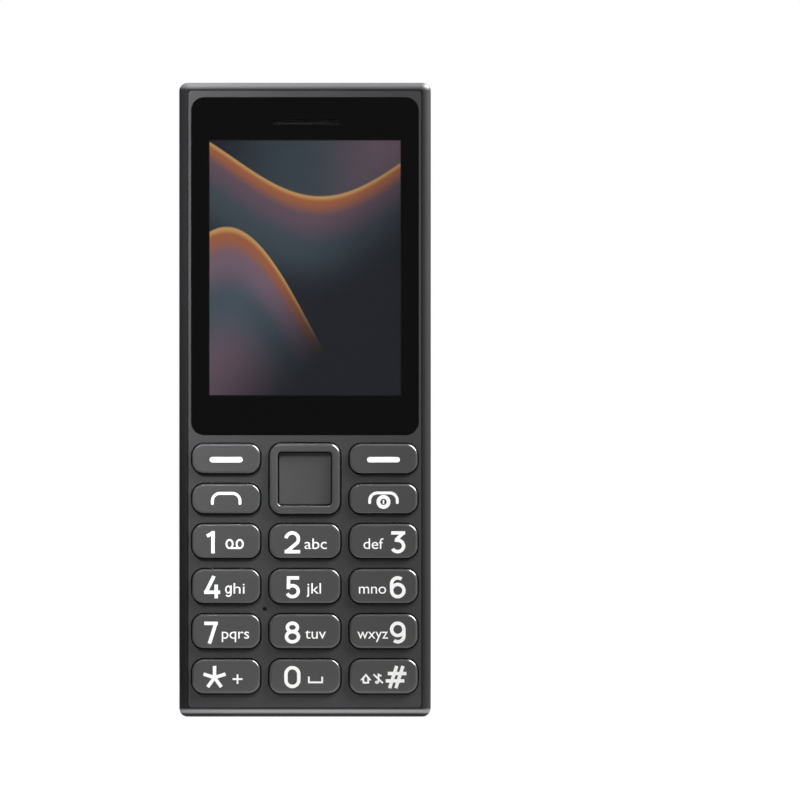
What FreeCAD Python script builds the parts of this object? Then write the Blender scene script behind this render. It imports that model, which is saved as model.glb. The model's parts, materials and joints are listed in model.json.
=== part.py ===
"""Bar-shaped keypad phone: a wrap-around rear cover snapped over a core of front housing and chassis.

Millimetres. X is the width, seen from the front with the keypad below the screen, and +X is the viewer's right.
Y is the depth: the front faces -Y and the rear cover faces +Y. Z is up, and the phone stands on its lower end.
The origin is the centre of the bounding box in X and Y, at the lower end face.
Depths are counted from the front face towards the rear, and y_at() turns a depth into a Y coordinate.
"""

import FreeCAD, Part

import math
import os

Vector = FreeCAD.Vector

# --- Outer form -----------------------------------------------------------------------------------------------
body_width = 48.4
body_height = 121.9
front_edge_radius = 1.75    # rolled edge along the two long sides of the front
side_radius = 8.2           # the long sides turn into the back on this radius
back_radius = 110.0         # the shallow crown of the back
back_pieces = 6             # the crown's arc is drawn in this many pieces
end_radius = 1.6            # rolled edge all round both ends

# --- Rear cover -----------------------------------------------------------------------------------------------
cover_back_wall = 1.2
cover_side_rim = 1.7        # width of the rim that shows from the front, along the sides
cover_top_rim = 1.45
cover_base_rim = 1.7
cover_corner = 0.7          # inside corner radius of the cover
seam = 0.12                 # gap between the cover's rim and the core
back_gap = 0.25             # gap between the cover's back wall and the chassis
guide_rib_height = 0.25
guide_rib_length = 6.0
guide_rib_start = 3.0       # depth at which a rib starts
guide_rib_depth = 1.2
guide_rib_first = 24.0      # height of the lowest pair of ribs
guide_rib_pitch = 36.0
guide_rib_count = 3
guide_slot_play = 0.1

# --- Loudspeaker slots in the cover ---------------------------------------------------------------------------
sound_slot_width = 5.0
sound_slot_height = 0.9
sound_slot_pitch = 1.8
sound_slot_count = 5

# --- Front housing --------------------------------------------------------------------------------------------
face_plate = 1.3            # thickness of the plate that carries the keys
core_wall = 1.1
split_depth = 5.4           # plane where the front housing meets the chassis
split_gap = 0.05
lip_height = 0.7            # the chassis lip that locates the front housing
lip_wall = 0.5

# --- Keys -----------------------------------------------------------------------------------------------------
middle_key_width = 13.85
key_gap = 1.55              # between two keys of a row
key_side_margin = 0.655     # from the outer keys to the side of the core
key_corner = 2.35
key_edge = 0.6              # rounding of a key's top edge
key_stand = 0.8             # height of a key above the front face
key_clearance = 0.16        # gap round a key in its opening
key_travel = 0.35
key_well = 2.7              # depth to which the housing's wall is cut back for the keys
number_key_height = 6.75
number_row_pitch = 8.66
lowest_row = 7.84           # height of the lowest row's centre line
function_key_height = 5.85
call_row = 41.95
soft_row = 49.65
tab_length = 5.0            # retaining tabs along a key's upper and lower edges
tab_reach = 0.55
tab_thickness = 0.55
tab_gap = 0.1
plunger_radius = 1.2

# --- Navigation key -------------------------------------------------------------------------------------------
nav_size = 13.8
nav_corner = 2.4
nav_stand = 0.9
nav_bar = 1.75              # width of the ring seen from the front
nav_inner_corner = 0.75
nav_outer_edge = 0.7
nav_inner_edge = 0.4
nav_tab_gap = 0.45
nav_tab_length = 4.0
select_recess = 0.05        # depth of the select key's face below the front face
select_clearance = 0.15
select_edge = 0.12
select_flange_reach = 0.4
select_flange_thickness = 0.4
select_flange_gap = 0.42
ring_step_depth = 1.2
ring_step_reach = 0.7
pad_gap = 0.35
pad_thickness = 0.35
pad_inset = 0.3
pad_bar = 2.4
pad_ridge_gap = 0.03
pad_ridge_width = 0.8
pad_ridge_inset = 0.25
pad_ridge_length = 0.8
pad_nub_radius = 1.0
pad_nub_height = 0.5

# --- Lens and display -----------------------------------------------------------------------------------------
lens_gap = 1.625            # from the upper keys to the lens
lens_side_border = 0.58     # from the lens to the side of the core
lens_top_border = 1.33
lens_corner = 2.5
lens_thickness = 0.9
lens_play = 0.08
mask_thickness = 0.1
adhesive_thickness = 0.15
adhesive_inset = 0.4
ledge_thickness = 0.6
ledge_margin = 1.2
view_side_border = 3.44     # from the lens's edge to the picture, which is 36.72 x 48.96 mm
view_top_border = 8.19
view_base_border = 7.65
view_corner = 0.3
view_margin = 0.15          # the mask's window is larger than the picture by this much on each side
lcd_side_border = 2.34      # from the picture to the edge of the display module
lcd_top_border = 2.49
lcd_base_border = 4.75
lcd_corner = 0.4
lcd_thickness = 2.3
lcd_gap = 0.05
bezel_wall = 0.2
cell_thickness = 1.0
cell_border = 0.7
flex_width = 16.0
flex_thickness = 0.07
flex_length = 1.6

# --- Earpiece -------------------------------------------------------------------------------------------------
earpiece_slot_width = 13.0
earpiece_slot_height = 1.0
earpiece_drop = 4.75        # from the lens's upper edge to the slot
earpiece_mesh_sink = 0.25
receiver_width = 14.0
receiver_height = 4.6
receiver_thickness = 2.2
receiver_corner = 1.0
receiver_gap = 0.3

# --- Board, domes and mat -------------------------------------------------------------------------------------
board_depth = 4.3
board_thickness = 0.8
board_play = 0.25
board_corner = 1.0
board_hole_play = 0.25
board_gap = 0.05            # between the board and what is soldered to it
film_thickness = 0.08
film_gap = 0.02
dome_radius = 2.0
dome_height = 0.3
mat_depth = 2.6
mat_thickness = 0.3
mat_hole_play = 0.5
mat_foot_radius = 0.7
mat_foot_inset = 1.15
mat_side_margin = 0.88      # from the mat to the core's side wall
mat_margin = 0.6            # the mat stops this far inside the keypad's upper and lower limits
mat_corner = 1.0

# --- Microphone -----------------------------------------------------------------------------------------------
mic_hole_radius = 0.4
mic_size = 3.0
mic_thickness = 1.1
mic_film_margin = 0.6
boot_radius = 0.65
boot_gap = 0.03

# --- Screws ---------------------------------------------------------------------------------------------------
screw_radius = 0.7
screw_head_radius = 1.2
screw_head_height = 0.8
screw_length = 6.2
screw_play = 0.03
screw_hole_play = 0.1
screw_pilot = 1.9           # depth of a pilot hole, with a little room past the screw's tip
screw_tip_room = 0.1
screw_drive_radius = 0.5
screw_drive_depth = 0.45
boss_radius = 1.15
wide_boss_radius = 1.6
boss_gap = 0.6              # from the middle bosses to the display
screw_inset = 2.28          # from the side screws to the core's inner wall
top_screw_inset = 2.33
base_screw_inset = 1.38     # from the base screws to the lower end of the core

# --- Ports and small parts ------------------------------------------------------------------------------------
usb_width = 8.94
usb_thickness = 3.16
usb_length = 7.35
usb_wall = 0.3
usb_back_wall = 0.8
usb_tongue_width = 6.7
usb_tongue_thickness = 0.7
usb_tongue_length = 5.2
port_play = 0.2
port_inset = 0.1            # the charging socket starts this far inside the core's lower end
jack_inset = 7.28           # from the jack's centre line to the core's inner wall
jack_setback = 0.5          # the jack starts this far inside the core's lower end
jack_width = 6.2
jack_thickness = 4.7
jack_length = 13.2
jack_bore_radius = 1.8
jack_bore_length = 12.0
jack_port_radius = 3.3      # room for the collar of a plug, in the cover
torch_inset = 9.28
torch_radius = 1.5
torch_rise = 2.2            # from the board's rear side to the torch's centre line
torch_lens_length = 1.2
torch_led_size = 2.8
torch_led_length = 2.0
torch_play = 0.1
motor_inset = 10.28
motor_drop = 7.6
motor_radius = 4.0
motor_thickness = 2.7
speaker_inset = 7.08
speaker_rise = 1.2          # from the core's lower wall to the loudspeaker
speaker_width = 9.0
speaker_height = 13.6
speaker_corner = 1.5
speaker_thickness = 3.2
speaker_cone_border = 1.2
speaker_cone_depth = 0.5
speaker_window_margin = 1.5
speaker_window_corner = 1.0
gasket_thickness = 0.5
gasket_inset = 0.3
gasket_gap = 0.02
mesh_thickness = 0.3
mesh_sink = 0.1
antenna_thickness = 0.15
antenna_slot = 0.8
antenna_slot_pitch = 6.0
antenna_margin = 0.6

# --- Chassis --------------------------------------------------------------------------------------------------
lower_zone_height = 16.1    # the hollow behind the lower keys: sockets and loudspeaker
upper_zone_height = 15.0    # the hollow behind the earpiece: motor, torch and antenna
zone_side_wall = 2.4
zone_headroom = 0.15
zone_roof = 2.75
bay_floor = 0.7
bay_floor_depth = 6.0       # depth of the floor's front side
bay_side = 5.08             # from the battery bay to the side of the core
bay_play = 0.3
bay_end_wall = 1.9
post_head_room = 0.35

# --- Battery and cards ----------------------------------------------------------------------------------------
battery_thickness = 4.6
battery_corner = 1.4
battery_gap = 0.05
contact_pitch = 3.0
contact_recess_width = 2.0
contact_recess_depth = 0.3
contact_recess_start = 0.9
contact_recess_height = 1.8
spring_width = 1.0
spring_play = 0.1
finger_notch_width = 8.0
finger_notch_height = 1.0
finger_notch_depth = 0.4
connector_width = 9.0
connector_height = 3.0
connector_play = 0.1
card_well_height = 26.5
sim_margin = 1.9
sim_height = 17.6
sim_rise = 0.4
socket_thickness = 1.5
socket_floor = 0.3
socket_lid = 0.25
socket_play = 0.15
sim_slot_width = 12.4
sim_stop = 1.0
sim_window_width = 8.0
sim_window_height = 9.0
memory_width = 14.6
memory_height = 6.6
memory_drop = 0.8
memory_slot_width = 11.2
shield_gap = 4.0
shield_side_margin = 2.0
shield_height = 0.8
shield_wall = 0.2

# --- Places worked out from the sizes above -------------------------------------------------------------------
half_width = body_width / 2
inner_half_width = half_width - cover_side_rim
core_half_width = inner_half_width - seam
core_wall_half_width = core_half_width - core_wall
core_base = cover_base_rim + seam
core_top = body_height - cover_top_rim - seam
core_middle = (core_base + core_top) / 2
lower_wall = core_base + core_wall
upper_wall = core_top - core_wall

board_back = board_depth + board_thickness
part_seat = board_back + board_gap
usb_depth = part_seat + usb_thickness / 2
jack_depth = part_seat + jack_thickness / 2
zone_pocket_depth = part_seat + jack_thickness + zone_headroom
body_depth = zone_pocket_depth + zone_roof + back_gap + cover_back_wall
overall_depth = body_depth + nav_stand
face_y = nav_stand - overall_depth / 2

side_key_width = core_half_width - key_side_margin - middle_key_width / 2 - key_gap
key_column_pitch = (side_key_width + middle_key_width) / 2 + key_gap
key_gap_x = (middle_key_width + key_gap) / 2
keypad_top = soft_row + function_key_height / 2
keypad_base = lowest_row - number_key_height / 2
nav_level = (call_row + soft_row) / 2
nav_inner = nav_size - 2 * nav_bar
nav_ring_back = face_plate + nav_tab_gap + tab_thickness
dome_top = board_depth - film_thickness - film_gap - dome_height
tab_depth = face_plate + tab_gap
key_back = tab_depth + tab_thickness
plunger_tip = dome_top - key_travel - board_gap
mat_side = core_wall_half_width - mat_side_margin
mic_level = lowest_row + 1.5 * number_row_pitch

lens_width = 2 * (core_half_width - lens_side_border)
lens_top = core_top - lens_top_border
lens_base = keypad_top + lens_gap
lens_height = lens_top - lens_base
view_width = lens_width - 2 * view_side_border
view_height = lens_height - view_top_border - view_base_border
view_base = lens_base + view_base_border
recess_depth = lens_thickness + mask_thickness + adhesive_thickness
ledge_back = recess_depth + ledge_thickness
lcd_width = view_width + 2 * lcd_side_border
lcd_height = view_height + lcd_top_border + lcd_base_border
lcd_base = view_base - lcd_base_border
lcd_depth = ledge_back + lcd_gap
lcd_back = lcd_depth + lcd_thickness
cell_depth = lcd_depth + bezel_wall + lcd_gap
earpiece_level = lens_top - earpiece_drop

jack_x = jack_inset - core_wall_half_width
torch_x = core_wall_half_width - torch_inset
motor_x = motor_inset - core_wall_half_width
speaker_x = core_wall_half_width - speaker_inset
speaker_level = lower_wall + speaker_rise + speaker_height / 2
speaker_front = zone_pocket_depth - gasket_thickness - 2 * gasket_gap
torch_depth = board_back + torch_rise

screw_side = core_wall_half_width - screw_inset
top_screw_level = upper_wall - top_screw_inset
middle_screw_level = lcd_base - wide_boss_radius - boss_gap
base_screw_level = core_base + base_screw_inset
base_screw_x = (usb_width / 2 - jack_x - jack_width / 2) / 2
boss_end = board_depth - board_gap
screw_seat = boss_end - screw_pilot + screw_length + screw_tip_room

bay_half_width = core_half_width - bay_side
battery_width = 2 * (bay_half_width - bay_play)
bay_depth = bay_floor_depth + bay_floor
battery_depth = bay_depth + battery_gap
bay_base = lower_wall + lower_zone_height + core_wall
battery_base = bay_base + bay_play
card_well_top = upper_wall - upper_zone_height - core_wall
card_well_base = card_well_top - card_well_height
bay_top = card_well_base - bay_end_wall
battery_top = bay_top - bay_play
battery_height = battery_top - battery_base
sim_width = bay_half_width - sim_margin
sim_offset = (sim_width + sim_margin - 2 * socket_play) / 2
sim_level = card_well_base + sim_rise + sim_height / 2
memory_level = card_well_top - memory_drop - memory_height / 2
shield_width = battery_width - 2 * shield_side_margin
shield_length = (battery_height - 3 * shield_gap) / 2
BEYOND = 2.0                # cutting solids run this far past the faces they open


def y_at(depth):
    """The Y coordinate of a depth behind the front face."""
    return face_y + depth


# --- Shape helpers --------------------------------------------------------------------------------------------
def block(x0, x1, depth0, depth1, z0, z1):
    """A box between two X values, two depths and two heights."""
    return Part.makeBox(x1 - x0, depth1 - depth0, z1 - z0, Vector(x0, y_at(depth0), z0))


def post(x, z, radius, depth0, depth1):
    """A cylinder along the depth."""
    return Part.makeCylinder(radius, depth1 - depth0, Vector(x, y_at(depth0), z), Vector(0, 1, 0))


def upright(x, depth, radius, z0, z1):
    """A cylinder along the height."""
    return Part.makeCylinder(radius, z1 - z0, Vector(x, y_at(depth), z0), Vector(0, 0, 1))


def rounded_outline(width, height, radius, make_point):
    """A closed wire round a rounded rectangle. make_point places coordinates counted from its centre."""
    a, b = width / 2, height / 2
    radius = min(radius, a - 0.001, b - 0.001)
    turn = radius * (1 - math.sqrt(0.5))
    corners = ((a, b, 1, 1), (-a, b, -1, 1), (-a, -b, -1, -1), (a, -b, 1, -1))
    edges = []
    for index, (u, v, su, sv) in enumerate(corners):
        on_side = (u, v - sv * radius)
        on_end = (u - su * radius, v)
        first, last = (on_side, on_end) if index % 2 == 0 else (on_end, on_side)
        middle = (u - su * turn, v - sv * turn)
        edges.append(Part.Arc(make_point(*first), make_point(*middle), make_point(*last)).toShape())
        if index:
            edges.insert(-1, Part.makeLine(previous_last, edges[-1].Vertexes[0].Point))
        else:
            start = make_point(*first)
        previous_last = make_point(*last)
    edges.append(Part.makeLine(previous_last, start))
    return Part.Wire(Part.__sortEdges__(edges))


def plate(x, z, width, height, radius, depth0, depth1):
    """A rounded rectangle seen from the front, from one depth to another."""
    outline = rounded_outline(width, height, radius, lambda u, v: Vector(x + u, y_at(depth0), z + v))
    return Part.Face(outline).extrude(Vector(0, depth1 - depth0, 0))


def port(x, depth, width, thickness, radius, z0, z1):
    """A rounded rectangle seen from below, from one height to another."""
    outline = rounded_outline(width, thickness, radius, lambda u, v: Vector(x + u, y_at(depth + v), z0))
    return Part.Face(outline).extrude(Vector(0, 0, z1 - z0))


def side_plate(z, depth0, depth1, height, radius, side):
    """A rounded rectangle seen from the side, from x = -side to x = side."""
    depth = (depth0 + depth1) / 2
    outline = rounded_outline(
        depth1 - depth0, height, radius, lambda u, v: Vector(-side, y_at(depth + u), z + v)
    )
    return Part.Face(outline).extrude(Vector(2 * side, 0, 0))


def edges_at_depth(shape, depth):
    """The edges that lie wholly at one depth."""
    y = y_at(depth)
    return [e for e in shape.Edges if all(abs(v.Y - y) < 1e-4 for v in e.Vertexes) and on_plane(e, y)]


def on_plane(edge, y):
    middle = edge.valueAt((edge.FirstParameter + edge.LastParameter) / 2)
    return abs(middle.y - y) < 1e-4


def joined(solids):
    """Several touching solids fused into one, with their shared faces merged."""
    result = solids[0].multiFuse(solids[1:]) if len(solids) > 1 else solids[0]
    return result.removeSplitter()


# --- The body's section ---------------------------------------------------------------------------------------
def section_arcs(inset):
    """Centre and radius of the side arc, and where it meets the back arc, for a section set in by inset."""
    side = side_radius - inset
    back = back_radius - inset
    centre_x = half_width - side_radius
    back_centre = body_depth - back_radius
    centre_depth = back_centre + math.sqrt((back_radius - side_radius) ** 2 - centre_x ** 2)
    length = back_radius - side_radius
    join = (centre_x * back / length, back_centre + (centre_depth - back_centre) * back / length)
    return centre_x, centre_depth, side, join


def section_point(x, depth):
    return Vector(x, y_at(depth), 0)


def back_arcs(inset, join):
    """The back's arc from -X to +X, in equal pieces so that its crown stays true in a mesh."""
    back = back_radius - inset
    centre_depth = body_depth - back_radius
    sweep = math.asin(join[0] / back)
    steps = 2 * back_pieces
    angles = [sweep * (2 * i / steps - 1) for i in range(steps + 1)]
    points = [section_point(back * math.sin(a), centre_depth + back * math.cos(a)) for a in angles]
    points[0], points[-1] = section_point(-join[0], join[1]), section_point(*join)
    return [Part.Arc(points[i], points[i + 1], points[i + 2]).toShape() for i in range(0, steps, 2)]


def body_solid():
    """The whole phone's outer form: the section run from end to end, with its end edges rolled."""
    centre_x, centre_depth, side, join = section_arcs(0)
    corner = front_edge_radius
    turn = corner * (1 - math.sqrt(0.5))
    half = math.atan2(join[1] - centre_depth, join[0] - centre_x) / 2
    side_middle = (centre_x + side * math.cos(half), centre_depth + side * math.sin(half))
    edges = [Part.makeLine(section_point(-half_width + corner, 0), section_point(half_width - corner, 0))]
    for s in (1, -1):
        edges += [
            Part.Arc(
                section_point(s * (half_width - corner), 0),
                section_point(s * (half_width - turn), turn),
                section_point(s * half_width, corner),
            ).toShape(),
            Part.makeLine(section_point(s * half_width, corner), section_point(s * half_width, centre_depth)),
            Part.Arc(
                section_point(s * half_width, centre_depth),
                section_point(s * side_middle[0], side_middle[1]),
                section_point(s * join[0], join[1]),
            ).toShape(),
        ]
    edges += back_arcs(0, join)
    outline = Part.Wire(Part.__sortEdges__(edges))
    solid = Part.Face(outline).extrude(Vector(0, 0, body_height))
    ends = [e for e in solid.Edges if abs(e.Vertexes[0].Z - e.Vertexes[-1].Z) < 1e-6]
    return solid.makeFillet(end_radius, ends)


def inner_solid(side, inset, z0, z1, corner, front):
    """The form inside the cover: straight sides at x = side, and the section set in by inset behind them."""
    centre_x, centre_depth, radius, join = section_arcs(inset)
    rise = math.sqrt(radius ** 2 - (side - centre_x) ** 2)
    start = math.atan2(rise, side - centre_x)
    finish = math.atan2(join[1] - centre_depth, join[0] - centre_x)
    angle = (start + finish) / 2
    middle = (centre_x + radius * math.cos(angle), centre_depth + radius * math.sin(angle))
    meet = (side, centre_depth + rise)
    edges = [Part.makeLine(section_point(-side, front), section_point(side, front))]
    for s in (1, -1):
        edges += [
            Part.makeLine(section_point(s * side, front), section_point(s * side, meet[1])),
            Part.Arc(
                section_point(s * side, meet[1]),
                section_point(s * middle[0], middle[1]),
                section_point(s * join[0], join[1]),
            ).toShape(),
        ]
    edges += back_arcs(inset, join)
    outline = Part.Wire(Part.__sortEdges__(edges))
    solid = Part.Face(outline).extrude(Vector(0, 0, z1 - z0))
    solid.translate(Vector(0, 0, z0))
    height = z1 - z0
    seen_from_front = plate(0, (z0 + z1) / 2, 2 * side, height, corner, front, body_depth)
    seen_from_side = side_plate((z0 + z1) / 2, front - 2 * corner, body_depth - inset, height, corner, side)
    return solid.common(seen_from_front).common(seen_from_side)


def core_solid():
    """The form that the front housing and the chassis share."""
    inset = cover_back_wall + back_gap
    return inner_solid(core_half_width, inset, core_base, core_top, cover_corner - seam / 2, 0)


def depth_slice(depth0, depth1):
    """Everything between two depths, for cutting the core into its two halves."""
    side = body_width
    return block(-side, side, depth0, depth1, -BEYOND, body_height + BEYOND)


# --- Places of the keys ---------------------------------------------------------------------------------------
def key_places():
    """Name, x, z, width and height of each key."""
    names = (("key_1", "key_2", "key_3"), ("key_4", "key_5", "key_6"), ("key_7", "key_8", "key_9"),
             ("key_star", "key_0", "key_hash"))
    places = []
    for row, row_names in enumerate(names):
        z = lowest_row + (len(names) - 1 - row) * number_row_pitch
        for column, name in enumerate(row_names):
            width = middle_key_width if column == 1 else side_key_width
            places.append((name, (column - 1) * key_column_pitch, z, width, number_key_height))
    for name, side, z in (("key_soft_left", -1, soft_row), ("key_soft_right", 1, soft_row),
                          ("key_call", -1, call_row), ("key_end", 1, call_row)):
        places.append((name, side * key_column_pitch, z, side_key_width, function_key_height))
    return places


def screw_places():
    """X, height and boss radius of each housing screw."""
    return [
        (s * x, z, radius)
        for x, z, radius in (
            (screw_side, top_screw_level, wide_boss_radius),
            (screw_side, middle_screw_level, wide_boss_radius),
            (base_screw_x, base_screw_level, boss_radius),
        )
        for s in (-1, 1)
    ]


# --- Rear cover -----------------------------------------------------------------------------------------------
def guide_ribs(play, depth1):
    """The blocks of the cover's guide ribs, or with play added, the slots they run in."""
    blocks = []
    reach = inner_half_width - guide_rib_height - play
    for z in [guide_rib_first + i * guide_rib_pitch for i in range(guide_rib_count)]:
        z0, z1 = z - guide_rib_length / 2 - play, z + guide_rib_length / 2 + play
        for x0, x1 in ((-inner_half_width - seam, -reach), (reach, inner_half_width + seam)):
            blocks.append(block(x0, x1, guide_rib_start - play, depth1, z0, z1))
    return blocks


def rear_cover():
    hollow = inner_solid(inner_half_width, cover_back_wall, cover_base_rim, body_height - cover_top_rim,
                         cover_corner, -BEYOND)
    shell = body_solid().cut(hollow)
    shell = shell.multiFuse(guide_ribs(0, guide_rib_start + guide_rib_depth))
    first = speaker_level - sound_slot_pitch * (sound_slot_count - 1) / 2
    openings = [
        plate(
            speaker_x, first + i * sound_slot_pitch, sound_slot_width, sound_slot_height, sound_slot_height / 2,
            split_depth, body_depth + BEYOND,
        )
        for i in range(sound_slot_count)
    ]
    openings.append(
        port(0, usb_depth, usb_width + 4 * port_play, usb_thickness + 4 * port_play,
             usb_thickness / 2 + 2 * port_play, -BEYOND, core_base)
    )
    openings.append(upright(jack_x, jack_depth, jack_port_radius, -BEYOND, core_base))
    openings.append(upright(torch_x, torch_depth, torch_radius + torch_play, core_top, body_height + BEYOND))
    return shell.cut(Part.makeCompound(openings))


# --- Front housing --------------------------------------------------------------------------------------------
def lens_plate(inset, depth0, depth1):
    """The lens's outline, set in by inset, between two depths."""
    return plate(
        0, lens_base + lens_height / 2, lens_width - 2 * inset, lens_height - 2 * inset, lens_corner - inset,
        depth0, depth1,
    )


def view_plate(margin, depth0, depth1):
    """The picture's outline, widened by margin, between two depths."""
    return plate(
        0, view_base + view_height / 2, view_width + 2 * margin, view_height + 2 * margin, view_corner,
        depth0, depth1,
    )


def earpiece_cut(margin, depth0, depth1):
    height = earpiece_slot_height + 2 * margin
    return plate(0, earpiece_level, earpiece_slot_width + 2 * margin, height, height / 2, depth0, depth1)


def key_opening(x, z, width, height, corner):
    return plate(
        x, z, width + 2 * key_clearance, height + 2 * key_clearance, corner + key_clearance, -BEYOND, key_well
    )


def housing_bosses():
    """The bosses that the screws bite into: behind the key plate, and behind the ledge of the lens."""
    return [
        post(x, z, radius, (face_plate if z < lens_base else ledge_back) / 2, boss_end)
        for x, z, radius in screw_places()
    ]


def front_housing():
    shell = core_solid().common(depth_slice(0, split_depth))
    keypad_roof = lens_base - core_wall / 2
    side = core_wall_half_width
    lower_pocket = block(-side, side, face_plate, split_depth + BEYOND, lower_wall, keypad_roof)
    upper_pocket = block(-side, side, ledge_back, split_depth + BEYOND, keypad_roof, upper_wall)
    shell = joined([shell.cut(Part.makeCompound([lower_pocket, upper_pocket]))] + housing_bosses())
    openings = [key_opening(x, z, width, height, key_corner) for _, x, z, width, height in key_places()]
    openings.append(key_opening(0, nav_level, nav_size, nav_size, nav_corner))
    openings.append(post(-key_gap_x, mic_level, mic_hole_radius, -BEYOND, face_plate + BEYOND))
    openings.append(lens_plate(-lens_play, -BEYOND, recess_depth))
    openings.append(view_plate(ledge_margin, 0, split_depth))
    openings.append(earpiece_cut(receiver_gap, 0, split_depth))
    openings += [post(x, z, screw_radius + screw_play, boss_end - screw_pilot, boss_end + BEYOND)
                 for x, z, _ in screw_places()]
    openings += [post(x, z, radius + screw_hole_play, board_back, split_depth + BEYOND)
                 for x, z, radius in screw_places()]
    openings += guide_ribs(guide_slot_play, split_depth + BEYOND)
    openings += port_openings()
    openings.append(lip_ring(split_gap, split_depth - lip_height - split_gap, split_depth + BEYOND))
    return shell.cut(Part.makeCompound(openings))


def lip_ring(play, depth0, depth1):
    """The chassis lip inside the front housing's wall, or with play added, the step it fits in."""
    height = core_top - core_base
    reach = lip_wall + play
    outer = plate(0, core_middle, 2 * (core_wall_half_width + reach), height - 2 * (core_wall - reach),
                  cover_corner, depth0, depth1)
    inner = plate(0, core_middle, 2 * core_wall_half_width, height - 2 * core_wall, cover_corner / 2,
                  depth0 - BEYOND, depth1 + BEYOND)
    return outer.cut(inner)


# --- Lens and display -----------------------------------------------------------------------------------------
def display_lens():
    return lens_plate(0, 0, lens_thickness).cut(earpiece_cut(0, -BEYOND, lens_thickness + BEYOND))


def lens_mask():
    ring = lens_plate(0, lens_thickness, lens_thickness + mask_thickness)
    ring = ring.cut(view_plate(view_margin, 0, lens_thickness + BEYOND))
    return ring.cut(earpiece_cut(0, 0, lens_thickness + BEYOND))


def lens_adhesive():
    depth0 = lens_thickness + mask_thickness
    ring = lens_plate(adhesive_inset, depth0, depth0 + adhesive_thickness)
    ring = ring.cut(view_plate(ledge_margin + adhesive_inset, 0, depth0 + BEYOND))
    return ring.cut(earpiece_cut(receiver_gap + adhesive_inset / 2, 0, depth0 + BEYOND))


def earpiece_mesh():
    """A fine mesh plug that fills the slot in the lens, a little below its face."""
    return earpiece_cut(-lens_play / 2, earpiece_mesh_sink, recess_depth)


def lcd_plate(inset, depth0, depth1):
    """The display module's outline, set in by inset, between two depths."""
    return plate(0, lcd_base + lcd_height / 2, lcd_width - 2 * inset, lcd_height - 2 * inset, lcd_corner,
                 depth0, depth1)


def lcd_bezel():
    """The pressed steel frame of the display module: a tray with a window in its face."""
    tray = lcd_plate(0, lcd_depth, lcd_back)
    hollow = lcd_plate(bezel_wall, lcd_depth + bezel_wall, lcd_back + BEYOND)
    window = view_plate(view_margin + cell_border, 0, lcd_back)
    return tray.cut(Part.makeCompound([hollow, window]))


def lcd_glass():
    return lcd_plate(cell_border, cell_depth, cell_depth + cell_thickness)


def lcd_backlight():
    return lcd_plate(bezel_wall + lcd_gap, cell_depth + cell_thickness + lcd_gap, lcd_back)


def lcd_flex():
    """The display's flat tail, folded flat behind the panel's lower edge."""
    return block(-flex_width / 2, flex_width / 2, lcd_back, lcd_back + flex_thickness, lcd_base,
                 lcd_base + flex_length)


# --- Keys -----------------------------------------------------------------------------------------------------
def key_cap(x, z, width, height):
    """One key: the cap with its rolled edge, the two retaining tabs and the plunger behind it."""
    cap = plate(x, z, width, height, key_corner, -key_stand, key_back)
    cap = cap.makeFillet(key_edge, edges_at_depth(cap, -key_stand))
    tabs = block(
        x - tab_length / 2, x + tab_length / 2, tab_depth, key_back,
        z - height / 2 - tab_reach, z + height / 2 + tab_reach,
    )
    return joined([cap, tabs, post(x, z, plunger_radius, tab_depth, plunger_tip)])


def nav_square(size, corner, depth0, depth1):
    return plate(0, nav_level, size, size, corner, depth0, depth1)


def nav_ring():
    """The four-way ring, with a tab behind the housing at the middle of each side."""
    back = nav_ring_back
    ring = nav_square(nav_size, nav_corner, -nav_stand, back)
    ring = ring.makeFillet(nav_outer_edge, edges_at_depth(ring, -nav_stand))
    ring = ring.cut(nav_square(nav_inner, nav_inner_corner, -BEYOND, back + BEYOND))
    inner_edges = [e for e in edges_at_depth(ring, -nav_stand) if within_inner(e)]
    ring = ring.makeFillet(nav_inner_edge, inner_edges)
    reach, half = nav_size / 2 + tab_reach, nav_tab_length / 2
    tabs = [
        block(-reach, reach, back - tab_thickness, back, nav_level - half, nav_level + half),
        block(-half, half, back - tab_thickness, back, nav_level - reach, nav_level + reach),
    ]
    step = nav_square(
        nav_inner + 2 * ring_step_reach, nav_inner_corner + ring_step_reach, ring_step_depth, back + BEYOND
    )
    hole = nav_square(nav_inner, nav_inner_corner, -BEYOND, back + BEYOND)
    return joined([ring] + tabs).cut(Part.makeCompound([step, hole]))


def within_inner(edge):
    limit = nav_inner / 2 + 1e-3
    return all(abs(v.X) <= limit and abs(v.Z - nav_level) <= limit for v in edge.Vertexes)


def nav_pad():
    """The rubber frame under the ring: two ridges for the ring to rock on, and four nubs over the domes."""
    outer = nav_size - 2 * pad_inset
    depth0 = nav_ring_back + pad_gap
    depth1 = depth0 + pad_thickness
    window = nav_square(outer - 2 * pad_bar, nav_inner_corner, depth0 - BEYOND, depth1 + BEYOND)
    middle = (outer - pad_bar) / 2
    ridge_middle = outer / 2 - pad_ridge_inset - pad_ridge_length / 2
    solids = [nav_square(outer, nav_corner, depth0, depth1).cut(window)]
    for s in (-1, 1):
        z = nav_level + s * middle
        ridge = nav_level + s * ridge_middle
        solids.append(block(-pad_ridge_width / 2, pad_ridge_width / 2, nav_ring_back + pad_ridge_gap, depth1,
                            ridge - pad_ridge_length / 2, ridge + pad_ridge_length / 2))
        solids.append(post(0, z, pad_nub_radius, depth0, depth1 + pad_nub_height))
        solids.append(post(s * middle, nav_level, pad_nub_radius, depth0, depth1 + pad_nub_height))
    return joined(solids)


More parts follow.
